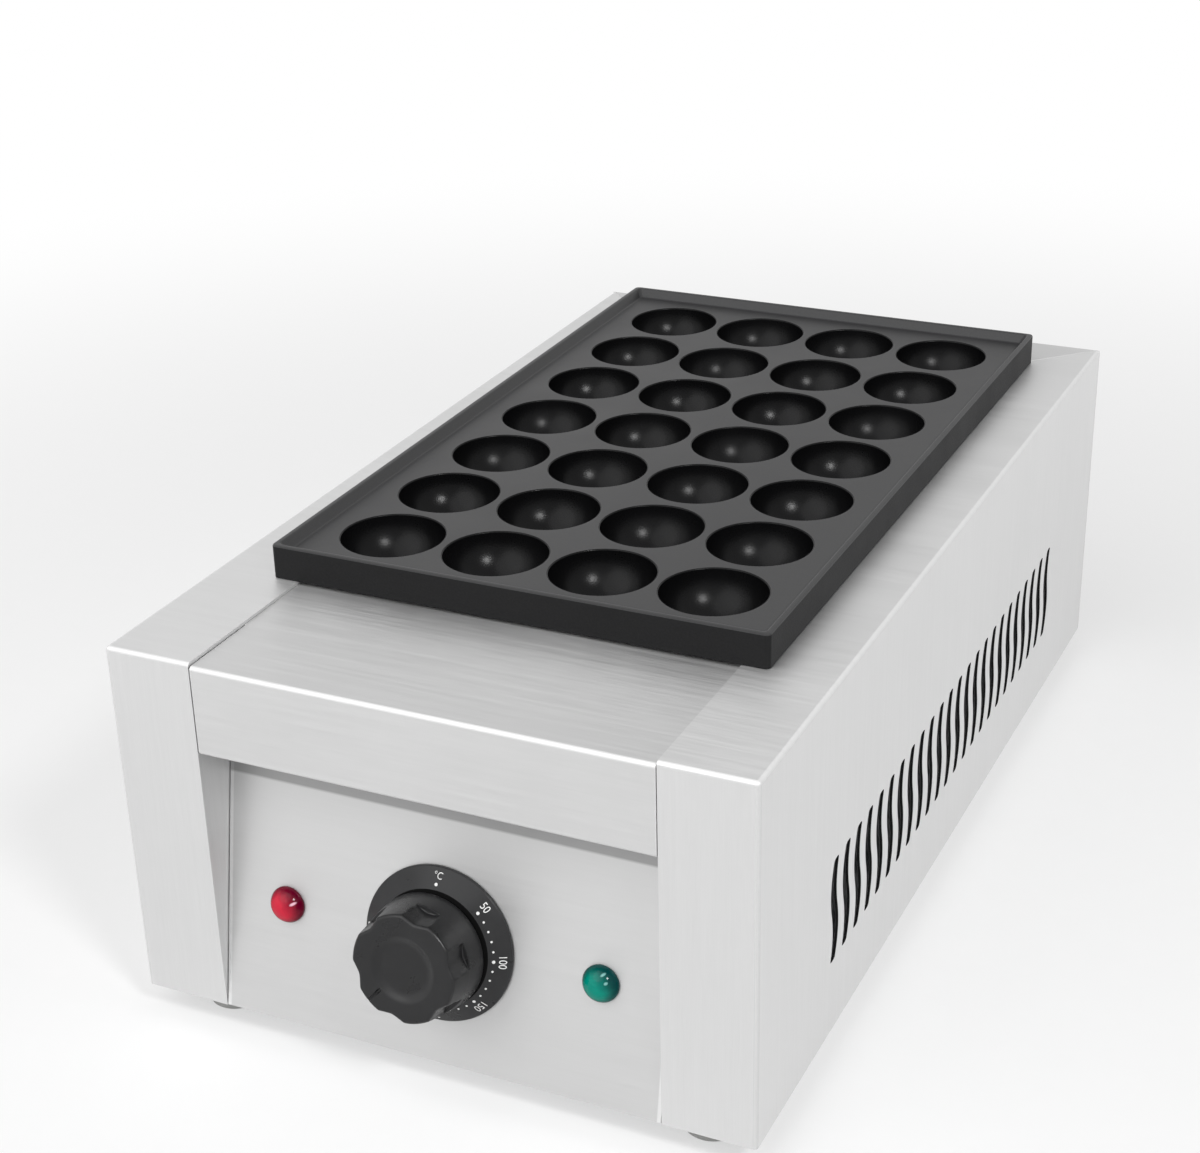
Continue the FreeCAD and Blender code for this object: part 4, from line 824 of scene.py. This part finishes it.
def knobPiece(size):
    shape = bmesh.new()
    count = size["grooves"] * size["perGroove"]
    skirt, low, face, end = size["skirt"], size["low"], size["face"], size["grooveEnd"]
    made = bmesh.ops.create_circle(shape, segments=count, radius=skirt / 1000)["verts"]
    start = edgesOf(made)
    bmesh.ops.translate(shape, verts=made, vec=(0, 0, (low + 0.6) / 1000))

    def ring(edges, height, radiusAt):
        verts, edges = pulled(shape, edges)
        for vert in verts:
            angle = math.atan2(vert.co.y, vert.co.x)
            radius = (radiusAt(angle) if callable(radiusAt) else radiusAt) / 1000
            vert.co = (radius * math.cos(angle), radius * math.sin(angle), height / 1000)
        return edges

    def wallAt(height, less=0.0):
        return lambda angle: knobRadius(size, angle, height) - less

    def ledge(share):
        # between the full body and the foot of the grooves
        def radius(angle):
            full = knobRadius(size, angle, end - 0.01)
            return full + (knobRadius(size, angle, end) - full) * share

        return radius

    edges = ring(start, size["skirtTop"], skirt)
    for height in (14.0, end - 0.3):
        edges = ring(edges, height, wallAt(height))
    for height, share in ((end - 0.08, 0.08), (end, 0.3), (end, 0.8), (end + 0.25, 1.0)):
        edges = ring(edges, height, ledge(share))
    for height in (*size["levels"], face - 1.1):
        edges = ring(edges, height, wallAt(height))
    for height, less in ((face - 0.72, 0.08), (face - 0.38, 0.28), (face - 0.12, 0.58), (face, 0.98)):
        edges = ring(edges, height, wallAt(height, less))
    for radius in size["flat"]:
        edges = ring(edges, face, radius)
    for radius, down in zip(size["dish"], size["sunk"]):
        edges = ring(edges, face - down, radius)
    bmesh.ops.edgeloop_fill(shape, edges=edges)
    # underside: skirt foot and the hollow above the dial
    edges = ring(start, low + 0.15, skirt - 0.15)
    edges = ring(edges, low, skirt - 0.5)
    edges = ring(edges, low, size["cavity"])
    edges = ring(edges, size["roof"], size["cavity"])
    bmesh.ops.edgeloop_fill(shape, edges=edges)
    bmesh.ops.remove_doubles(shape, verts=shape.verts, dist=1e-6)
    bmesh.ops.recalc_face_normals(shape, faces=shape.faces)
    pointerNotch(shape, size)
    piece = finishPiece(shape, "knob", [knobPlastic], "control", 34, dialPlace, even=True)
    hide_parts("control_knob")


def pointerNotch(shape, size):
    # cuts the face along the notch and sinks its middle
    towards = math.radians(size["pointer"])
    along = Vector((math.cos(towards), math.sin(towards), 0))
    across = Vector((-along.y, along.x, 0))
    half, start = size["notchWidth"] / 2000, size["notchFrom"] / 1000
    floorZ = (size["face"] - size["notchDepth"]) / 1000

    def close(face):
        centre = face.calc_center_median()
        return centre.dot(along) > start and abs(centre.dot(across)) < 0.004 and centre.z > floorZ - 0.001

    for offset in (-half, half, -half * 0.35, half * 0.35):
        geom = withParts([face for face in shape.faces if close(face)])
        bmesh.ops.bisect_plane(shape, geom=geom, dist=1e-7, plane_co=across * offset, plane_no=across)
    for vert in shape.verts:
        if abs(vert.co.dot(across)) < half * 0.5 and vert.co.dot(along) > start:
            vert.co.z = min(vert.co.z, floorZ)


knobPiece(knobShape)
print("knob made")

# signal lamps: a clear coloured dome, faceted inside, over a bright reflector
lampShape = {
    "across": 63.5,
    "radius": 7.0,
    "shoulder": 0.8,
    "height": 5.6,
    "inside": 5.75,
    "facets": 18,
    "reflector": 5.4,
    "front": 1.2,
    "stairFoot": 1.4,
    "stairRise": 2.6,
    "stairs": 5,
    "paintedGlintTurn": 30.0,
}
# glints are painted highlights in the glass: right, up, half length, half width, as shares of the radius
lensLook = {
    "red": {
        "deep": (0.1, 0.0, 0.013),
        "full": (0.6, 0.022, 0.05),
        "pale": (0.85, 0.5, 0.6),
        "paintedGlints": ((0.61, 0.32, 0.16, 0.08),),
        "slot": "red_lens",
        "side": -1,
    },
    "green": {
        "deep": (0.0, 0.043, 0.043),
        "full": (0.0, 0.25, 0.185),
        "pale": (0.2, 0.45, 0.42),
        "paintedGlints": ((0.27, 0.7, 0.13, 0.07), (0.5, 0.33, 0.09, 0.08)),
        "slot": "green_lens",
        "side": 1,
    },
}


def lensFinish(name, look, centre, size):
    # painted light and shade in the glass: deep towards the upper right, full towards the lower left, darker
    # towards the rim, with painted glint highlights
    material, tree, shader = newFinish(name, look["full"], 0.07)
    shader.inputs["Transmission Weight"].default_value = 0.1
    shader.inputs["IOR"].default_value = 1.49
    shader.inputs["Specular IOR Level"].default_value = 0.1
    place = addNode(tree, "TexCoord").outputs["Object"]
    off = addNode(tree, "VectorMath", {0: place, 1: centre}, operation="SUBTRACT").outputs[0]

    def along(way):
        scaled = Vector(way) * 1000 / size["radius"]
        return addNode(tree, "VectorMath", {0: off, 1: scaled}, operation="DOT_PRODUCT").outputs["Value"]

    right, up = along((1, 0, 0)), along(upward)
    wave = noiseOver(tree, 420, 2.0)
    lean = maths(tree, "MULTIPLY_ADD", right, -0.8, maths(tree, "MULTIPLY", up, -0.6))
    lean = maths(tree, "MULTIPLY_ADD", wave, 0.5, lean)
    paintedShading = spread(tree, lean, 0.0, 1.0, -0.62, 0.2)
    out = maths(tree, "SQRT", maths(tree, "MULTIPLY_ADD", right, right, maths(tree, "MULTIPLY", up, up)))
    paintedShading = maths(tree, "MULTIPLY", paintedShading, spread(tree, out, 1.0, 0.1, 0.6, 0.96))
    ramp = addNode(tree, "ValToRGB", {"Fac": paintedShading})
    ramp.color_ramp.elements[0].color = (*look["deep"], 1)
    ramp.color_ramp.elements[1].color = (*look["full"], 1)
    colour = ramp.outputs["Color"]
    flat = addNode(tree, "CombineXYZ", {"X": right, "Y": up}).outputs[0]
    slant = (0, 0, math.radians(size["paintedGlintTurn"]))
    for x, y, long, wide in look["paintedGlints"]:
        paintedGlint = {"Location": (x, y, 0), "Rotation": slant, "Scale": (long, wide, 1)}
        own = addNode(tree, "Mapping", {"Vector": flat, **paintedGlint}, vector_type="TEXTURE").outputs[0]
        far = addNode(tree, "VectorMath", {0: own, 1: own}, operation="DOT_PRODUCT").outputs["Value"]
        pale = {"Factor": spread(tree, far, 1.0, 0.0, 0.3, 1.3), 6: colour, 7: (*look["pale"], 1)}
        colour = addNode(tree, "Mix", pale, data_type="RGBA").outputs[2]
    tree.links.new(colour, shader.inputs["Base Color"])
    roughened(tree, shader, spread(tree, wave, 0.05, 0.12))
    bumped(tree, shader, wave, 0.15, 0.00003)
    return material


def signalLamp(name, look, size):
    spot = dialPlace @ Matrix.Translation((look["side"] * size["across"] / 1000, 0, 0))
    radius, shoulder, height = mm(size, "radius", "shoulder", "height")
    inside, front, bowl = mm(size, "inside", "front", "reflector")
    rise = height - shoulder
    ball = (radius * radius + rise * rise) / (rise * 2)
    middle = height - ball
    lowest = math.degrees(math.asin((shoulder - middle) / ball))
    dome = [(inside, 0), (radius - 0.00015, 0), (radius, 0.00015), (radius, shoulder - 0.0001)]
    dome += arc((0, middle), ball, lowest + 1.2, 90, 22)[:-1] + [(0, height)]
    shape = turnedShape(dome, 72, closed=False)
    # the inner face is a few flat facets in rings that step up like stairs
    foot, climb = mm(size, "stairFoot", "stairRise")
    steps = [(inside, 0), (inside, foot)]
    for number in range(size["stairs"]):
        share = 1 - number / size["stairs"]
        level = foot + climb * (1 - share * share)
        steps += [(inside * share - 0.0001, level + 0.0004), (inside * (share - 0.12), level)]
    steps.append((0, foot + climb + 0.0001))
    shape.from_mesh(meshFrom(turnedShape(steps, size["facets"], closed=False), "inner"))
    fillBetween(shape, [edge for edge in shape.edges if edge.is_boundary], -1)
    bmesh.ops.remove_doubles(shape, verts=shape.verts, dist=1e-7)
    bmesh.ops.recalc_face_normals(shape, faces=shape.faces)
    glass = lensFinish(name + "Glass", look, spot.translation, size)
    lens = finishPiece(shape, name + "Lens", [glass], "cooker", 25, spot)
    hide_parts(look["slot"])
    profile = [(0, front), (0.0012, front), (0.0018, front + 0.0001), (bowl - 0.0006, front + 0.0003)]
    profile += [(bowl, front + 0.0004), (bowl, front - 0.0004), (0, front - 0.0004)]
    cup = turnedShape(profile, 48, closed=False)
    finishPiece(cup, name + "Reflector", [mirror], "cooker", 30, spot)


mirror = patchyFinish("reflector", (0.82, 0.82, 0.8), 0.25, (700, 3.0), (1, 1), (-0.07, 0.09), 1.0)
for name, look in lensLook.items():
    signalLamp(name, look, lampShape)
print("signal lamps made")

# feet: moulded grey rubber with a ring groove and a deep recess for the screw
footShape = {
    "across": 100.0,
    "along": 195.5,
    "foot": 11.0,
    "top": 12.0,
    "height": 13.2,
    "recess": 4.8,
    "deep": 4.0,
    "hole": 2.3,
    "round": 0.9,
}


def rubberFinish(name, colour):
    grain = {"noise": (2200, 3.0), "strength": 0.4, "depth": 0.00003}
    return patchyFinish(name, colour, 0.7, (120, 4.0), (0.86, 1.1), (-0.1, 0.1), grain=grain)


def rubberFoot(name, node, x, y, size, material):
    foot, top, height, recess = mm(size, "foot", "top", "height", "recess")
    deep, hole, edge = mm(size, "deep", "hole", "round")
    lean = (top - foot) / height
    profile = [(hole, deep), (recess - 0.0003, deep), (recess, deep - 0.0003), (recess, 0.0004)]
    profile += [(recess + 0.0004, 0)] + arc((foot - edge, edge), edge, -90, 0, 5)
    for level, inward in ((0.0066, 0), (0.0068, 0.0004), (0.0074, 0.0004), (0.0076, 0)):
        profile.append((foot + level * lean - inward, level))
    profile += [(top - 0.0001, height - 0.0006), (top - 0.0005, height), (hole, height)]
    shape = turnedShape(profile, 64)
    piece = finishPiece(shape, name, [material], "cooker", 30, Matrix.Translation((x, y, 0)))
    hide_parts(node)


greyRubber = rubberFinish("greyRubber", (0.42, 0.42, 0.41))
for name, node, sideways, lengthwise in (
    ("footFrontLeft", "foot_front_left", -1, -1),
    ("footFrontRight", "foot_front_right", 1, -1),
    ("footRearLeft", "foot_rear_left", -1, 1),
    ("footRearRight", "foot_rear_right", 1, 1),
):
    x, y = mm(footShape, "across", "along")
    rubberFoot(name, node, x * sideways, y * lengthwise, footShape, greyRubber)
print("feet made")

# gland cap: a turned dome nut with grip ribs round its waist
capShape = {
    "x": 70.0,
    "rear": 217.5,
    "z": 51.0,
    "thread": 7.1,
    "outer": 10.5,
    "start": 5.3,
    "waist": 14.3,
    "reach": 21.7,
    "tip": 6.1,
    "bore": 4.5,
    "inside": 14.15,
    "ribs": 24,
    "ribDepth": 0.35,
}


def glandCap(size):
    outer, start, waist, reach = mm(size, "outer", "start", "waist", "reach")
    tip, bore, thread, inside = mm(size, "tip", "bore", "thread", "inside")
    profile = [(thread, start), (outer - 0.0004, start), (outer, start + 0.0004)]
    profile += [(outer, start + 0.002), (outer, waist + 0.002)]
    profile += arc((outer - 0.0025, waist + 0.002), 0.0025, 10, 60, 5)
    profile += [(tip + 0.0006, reach - 0.0006), (tip, reach - 0.0001), (tip - 0.0004, reach)]
    profile += [(bore + 0.0005, reach), (bore, reach - 0.0005), (bore, inside), (thread, inside)]
    shape = turnedShape(profile, size["ribs"] * 6)
    for vert in shape.verts:
        radius = math.hypot(vert.co.x, vert.co.y)
        if radius > outer - 0.00002 and start + 0.001 < vert.co.z < waist + 0.0021:
            turned = math.atan2(vert.co.y, vert.co.x) / math.tau * size["ribs"]
            if abs(turned % 1 - 0.5) < 0.2:
                less = 1 - size["ribDepth"] / size["outer"]
                vert.co.x *= less
                vert.co.y *= less
    place = Matrix.Translation(mm(size, "x", "rear", "z")) @ Matrix.Rotation(-math.pi / 2, 4, "X")
    piece = finishPiece(shape, "glandCap", [blackNylon], "cooker", 28, place)
    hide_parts("gland_cap")


blackNylon = mouldedPlastic("blackNylon", plasticLook["black"])
glandCap(capShape)
print("gland cap made")

# small screws that hold the sheets: pan heads with a cross recess
screwShape = {"radius": 3.1, "height": 1.9, "recess": 1.7, "arm": 0.42, "deep": 1.0}
rearScrews = [(x, 217.5, z) for x in (-119.0, 119.0) for z in (30.0, 84.0, 138.0)]
baseScrews = [(x, y, 12.0) for x in (-119.5, 119.5) for y in (-120.0, 0.0, 120.0)]
baseScrews += [(x, 212.0, 12.0) for x in (-50.0, 50.0)]


def platedSteel(name, colour, roughness):
    grain = {"noise": (1500, 2.0), "strength": 0.3, "depth": 0.00002}
    stain, shades, change = (240, 4.0, 0.65), (0.84, 1.08), (-0.06, 0.1)
    return patchyFinish(name, colour, roughness, stain, shades, change, 1.0, grain=grain)


def panHead(size):
    radius, height, recess, arm, deep = mm(size, "radius", "height", "recess", "arm", "deep")
    profile = [(0, height), (radius * 0.45, height - 0.0001), (radius * 0.75, height - 0.0004)]
    profile += [(radius * 0.93, height - 0.0009), (radius, height * 0.3), (radius, 0), (0, 0)]
    shape = turnedShape(profile, 40, closed=False)

    def inCross(face):
        near, far = sorted(abs(along) for along in face.calc_center_median()[:2])
        return face.normal.z > 0.4 and near < arm and far < recess

    # the cross: faces near the two slots are cut free and sunk
    for plane in (Vector((1, 0, 0)), Vector((0, 1, 0))):
        for offset in (-arm, arm, -recess, recess):
            geom = withParts([f for f in shape.faces if f.calc_center_median().z > height * 0.6])
            bmesh.ops.bisect_plane(shape, geom=geom, dist=1e-7, plane_co=plane * offset, plane_no=plane)
    cross = [face for face in shape.faces if inCross(face)]
    inset = {"thickness": 0.00006, "use_boundary": True, "use_even_offset": True}
    bmesh.ops.inset_region(shape, faces=cross, **inset)
    sunk = bmesh.ops.extrude_face_region(shape, geom=cross)["geom"]
    low = [item for item in sunk if isinstance(item, bmesh.types.BMVert)]
    bmesh.ops.translate(shape, verts=low, vec=(0, 0, -deep))
    bmesh.ops.delete(shape, geom=cross, context="FACES")
    bmesh.ops.recalc_face_normals(shape, faces=shape.faces)
    return meshFrom(shape, "panHead")


def screwRow(name, head, places, turned, material):
    whole = bmesh.new()
    for number, place in enumerate(places):
        known = len(whole.verts)
        whole.from_mesh(head)
        whole.verts.ensure_lookup_table()
        # every screw stops at an angle of its own
        spun = turned @ Matrix.Rotation(number * 0.7 + 0.3, 4, "Z")
        spun = Matrix.Translation(Vector(place) / 1000) @ spun
        bmesh.ops.transform(whole, matrix=spun, verts=whole.verts[known:])
    finishPiece(whole, name, [material], "cooker")


zinc = platedSteel("zincPlated", (0.62, 0.61, 0.58), 0.32)
head = panHead(screwShape)
screwRow("rearScrews", head, rearScrews, Matrix.Rotation(-math.pi / 2, 4, "X"), zinc)
screwRow("baseScrews", head, baseScrews, Matrix.Rotation(math.pi, 4, "X"), zinc)
print("screws made")


# finishes of the parts that keep the frame's own shape
def heatTinted(name):
    material, tree, shader = newFinish(name, (0.2, 0.17, 0.15), 0.45, 1.0)
    tint = noiseOver(tree, 22, 4.0, 0.6, (1, 0.4, 1))
    fine = noiseOver(tree, 900, 3.0)
    ramp = addNode(tree, "ValToRGB", {"Fac": tint})
    for step, position, shade in ((0, 0.3, (0.10, 0.095, 0.10, 1)), (1, 0.7, (0.30, 0.235, 0.18, 1))):
        ramp.color_ramp.elements[step].position = position
        ramp.color_ramp.elements[step].color = shade
    tree.links.new(ramp.outputs["Color"], shader.inputs["Base Color"])
    roughened(tree, shader, spread(tree, fine, 0.36, 0.55))
    bumped(tree, shader, fine, 0.4, 0.00003)
    return material


def spangled(name, colour):
    # zinc coated sheet with its large dull crystals
    material, tree, shader = newFinish(name, colour, 0.45, 1.0)
    crystal = addNode(tree, "TexVoronoi", {"Vector": objectPlace(tree), "Scale": 90.0})
    grey = addNode(tree, "SeparateXYZ", {0: crystal.outputs["Color"]}).outputs["X"]
    tinted(tree, shader, colour, spread(tree, grey, 0.86, 1.1, 0.0, 1.0))
    roughened(tree, shader, spread(tree, grey, 0.34, 0.56, 0.0, 1.0))
    bumped(tree, shader, noiseOver(tree, 1200, 2.0), 0.2, 0.00002)
    return material


innerSteel = platedSteel("innerSteel", (0.5, 0.5, 0.49), 0.38)
whitePlastic = mouldedPlastic("whitePlastic", plasticLook["white"])
for material, *names in (
    (heatTinted("heatTinted"), "heating_element_left", "heating_element_right"),
    (innerSteel, "clamp_bar_front", "clamp_bar_rear", "element_bracket", "thermostat_bracket", "sensor_clip"),
    (spangled("zincSheet", (0.55, 0.56, 0.57)), "heat_tray", "base_plate"),
    (zinc, "plate_studs", "stud_nuts", "thermostat_spindle", "dial_screws", "foot_screws"),
    (rubberFinish("creamCeramic", (0.72, 0.68, 0.58)), "thermostat_body"),
    (platedSteel("copperTube", (0.78, 0.42, 0.27), 0.34), "capillary_sensor"),
    (whitePlastic, "red_lamp", "green_lamp", "lamp_nuts", "terminal_block"),
    (blackNylon, "cable_gland", "gland_nut"),
    (platedSteel("brass", (0.72, 0.54, 0.24), 0.3), "earth_stud", "earth_nuts"),
):
    for name in names:
        slots = nodes[name].material_slots
        if not slots:
            nodes[name].data.materials.append(material)
        for slot in slots:
            slot.material = material
print("finishes on the nodes")
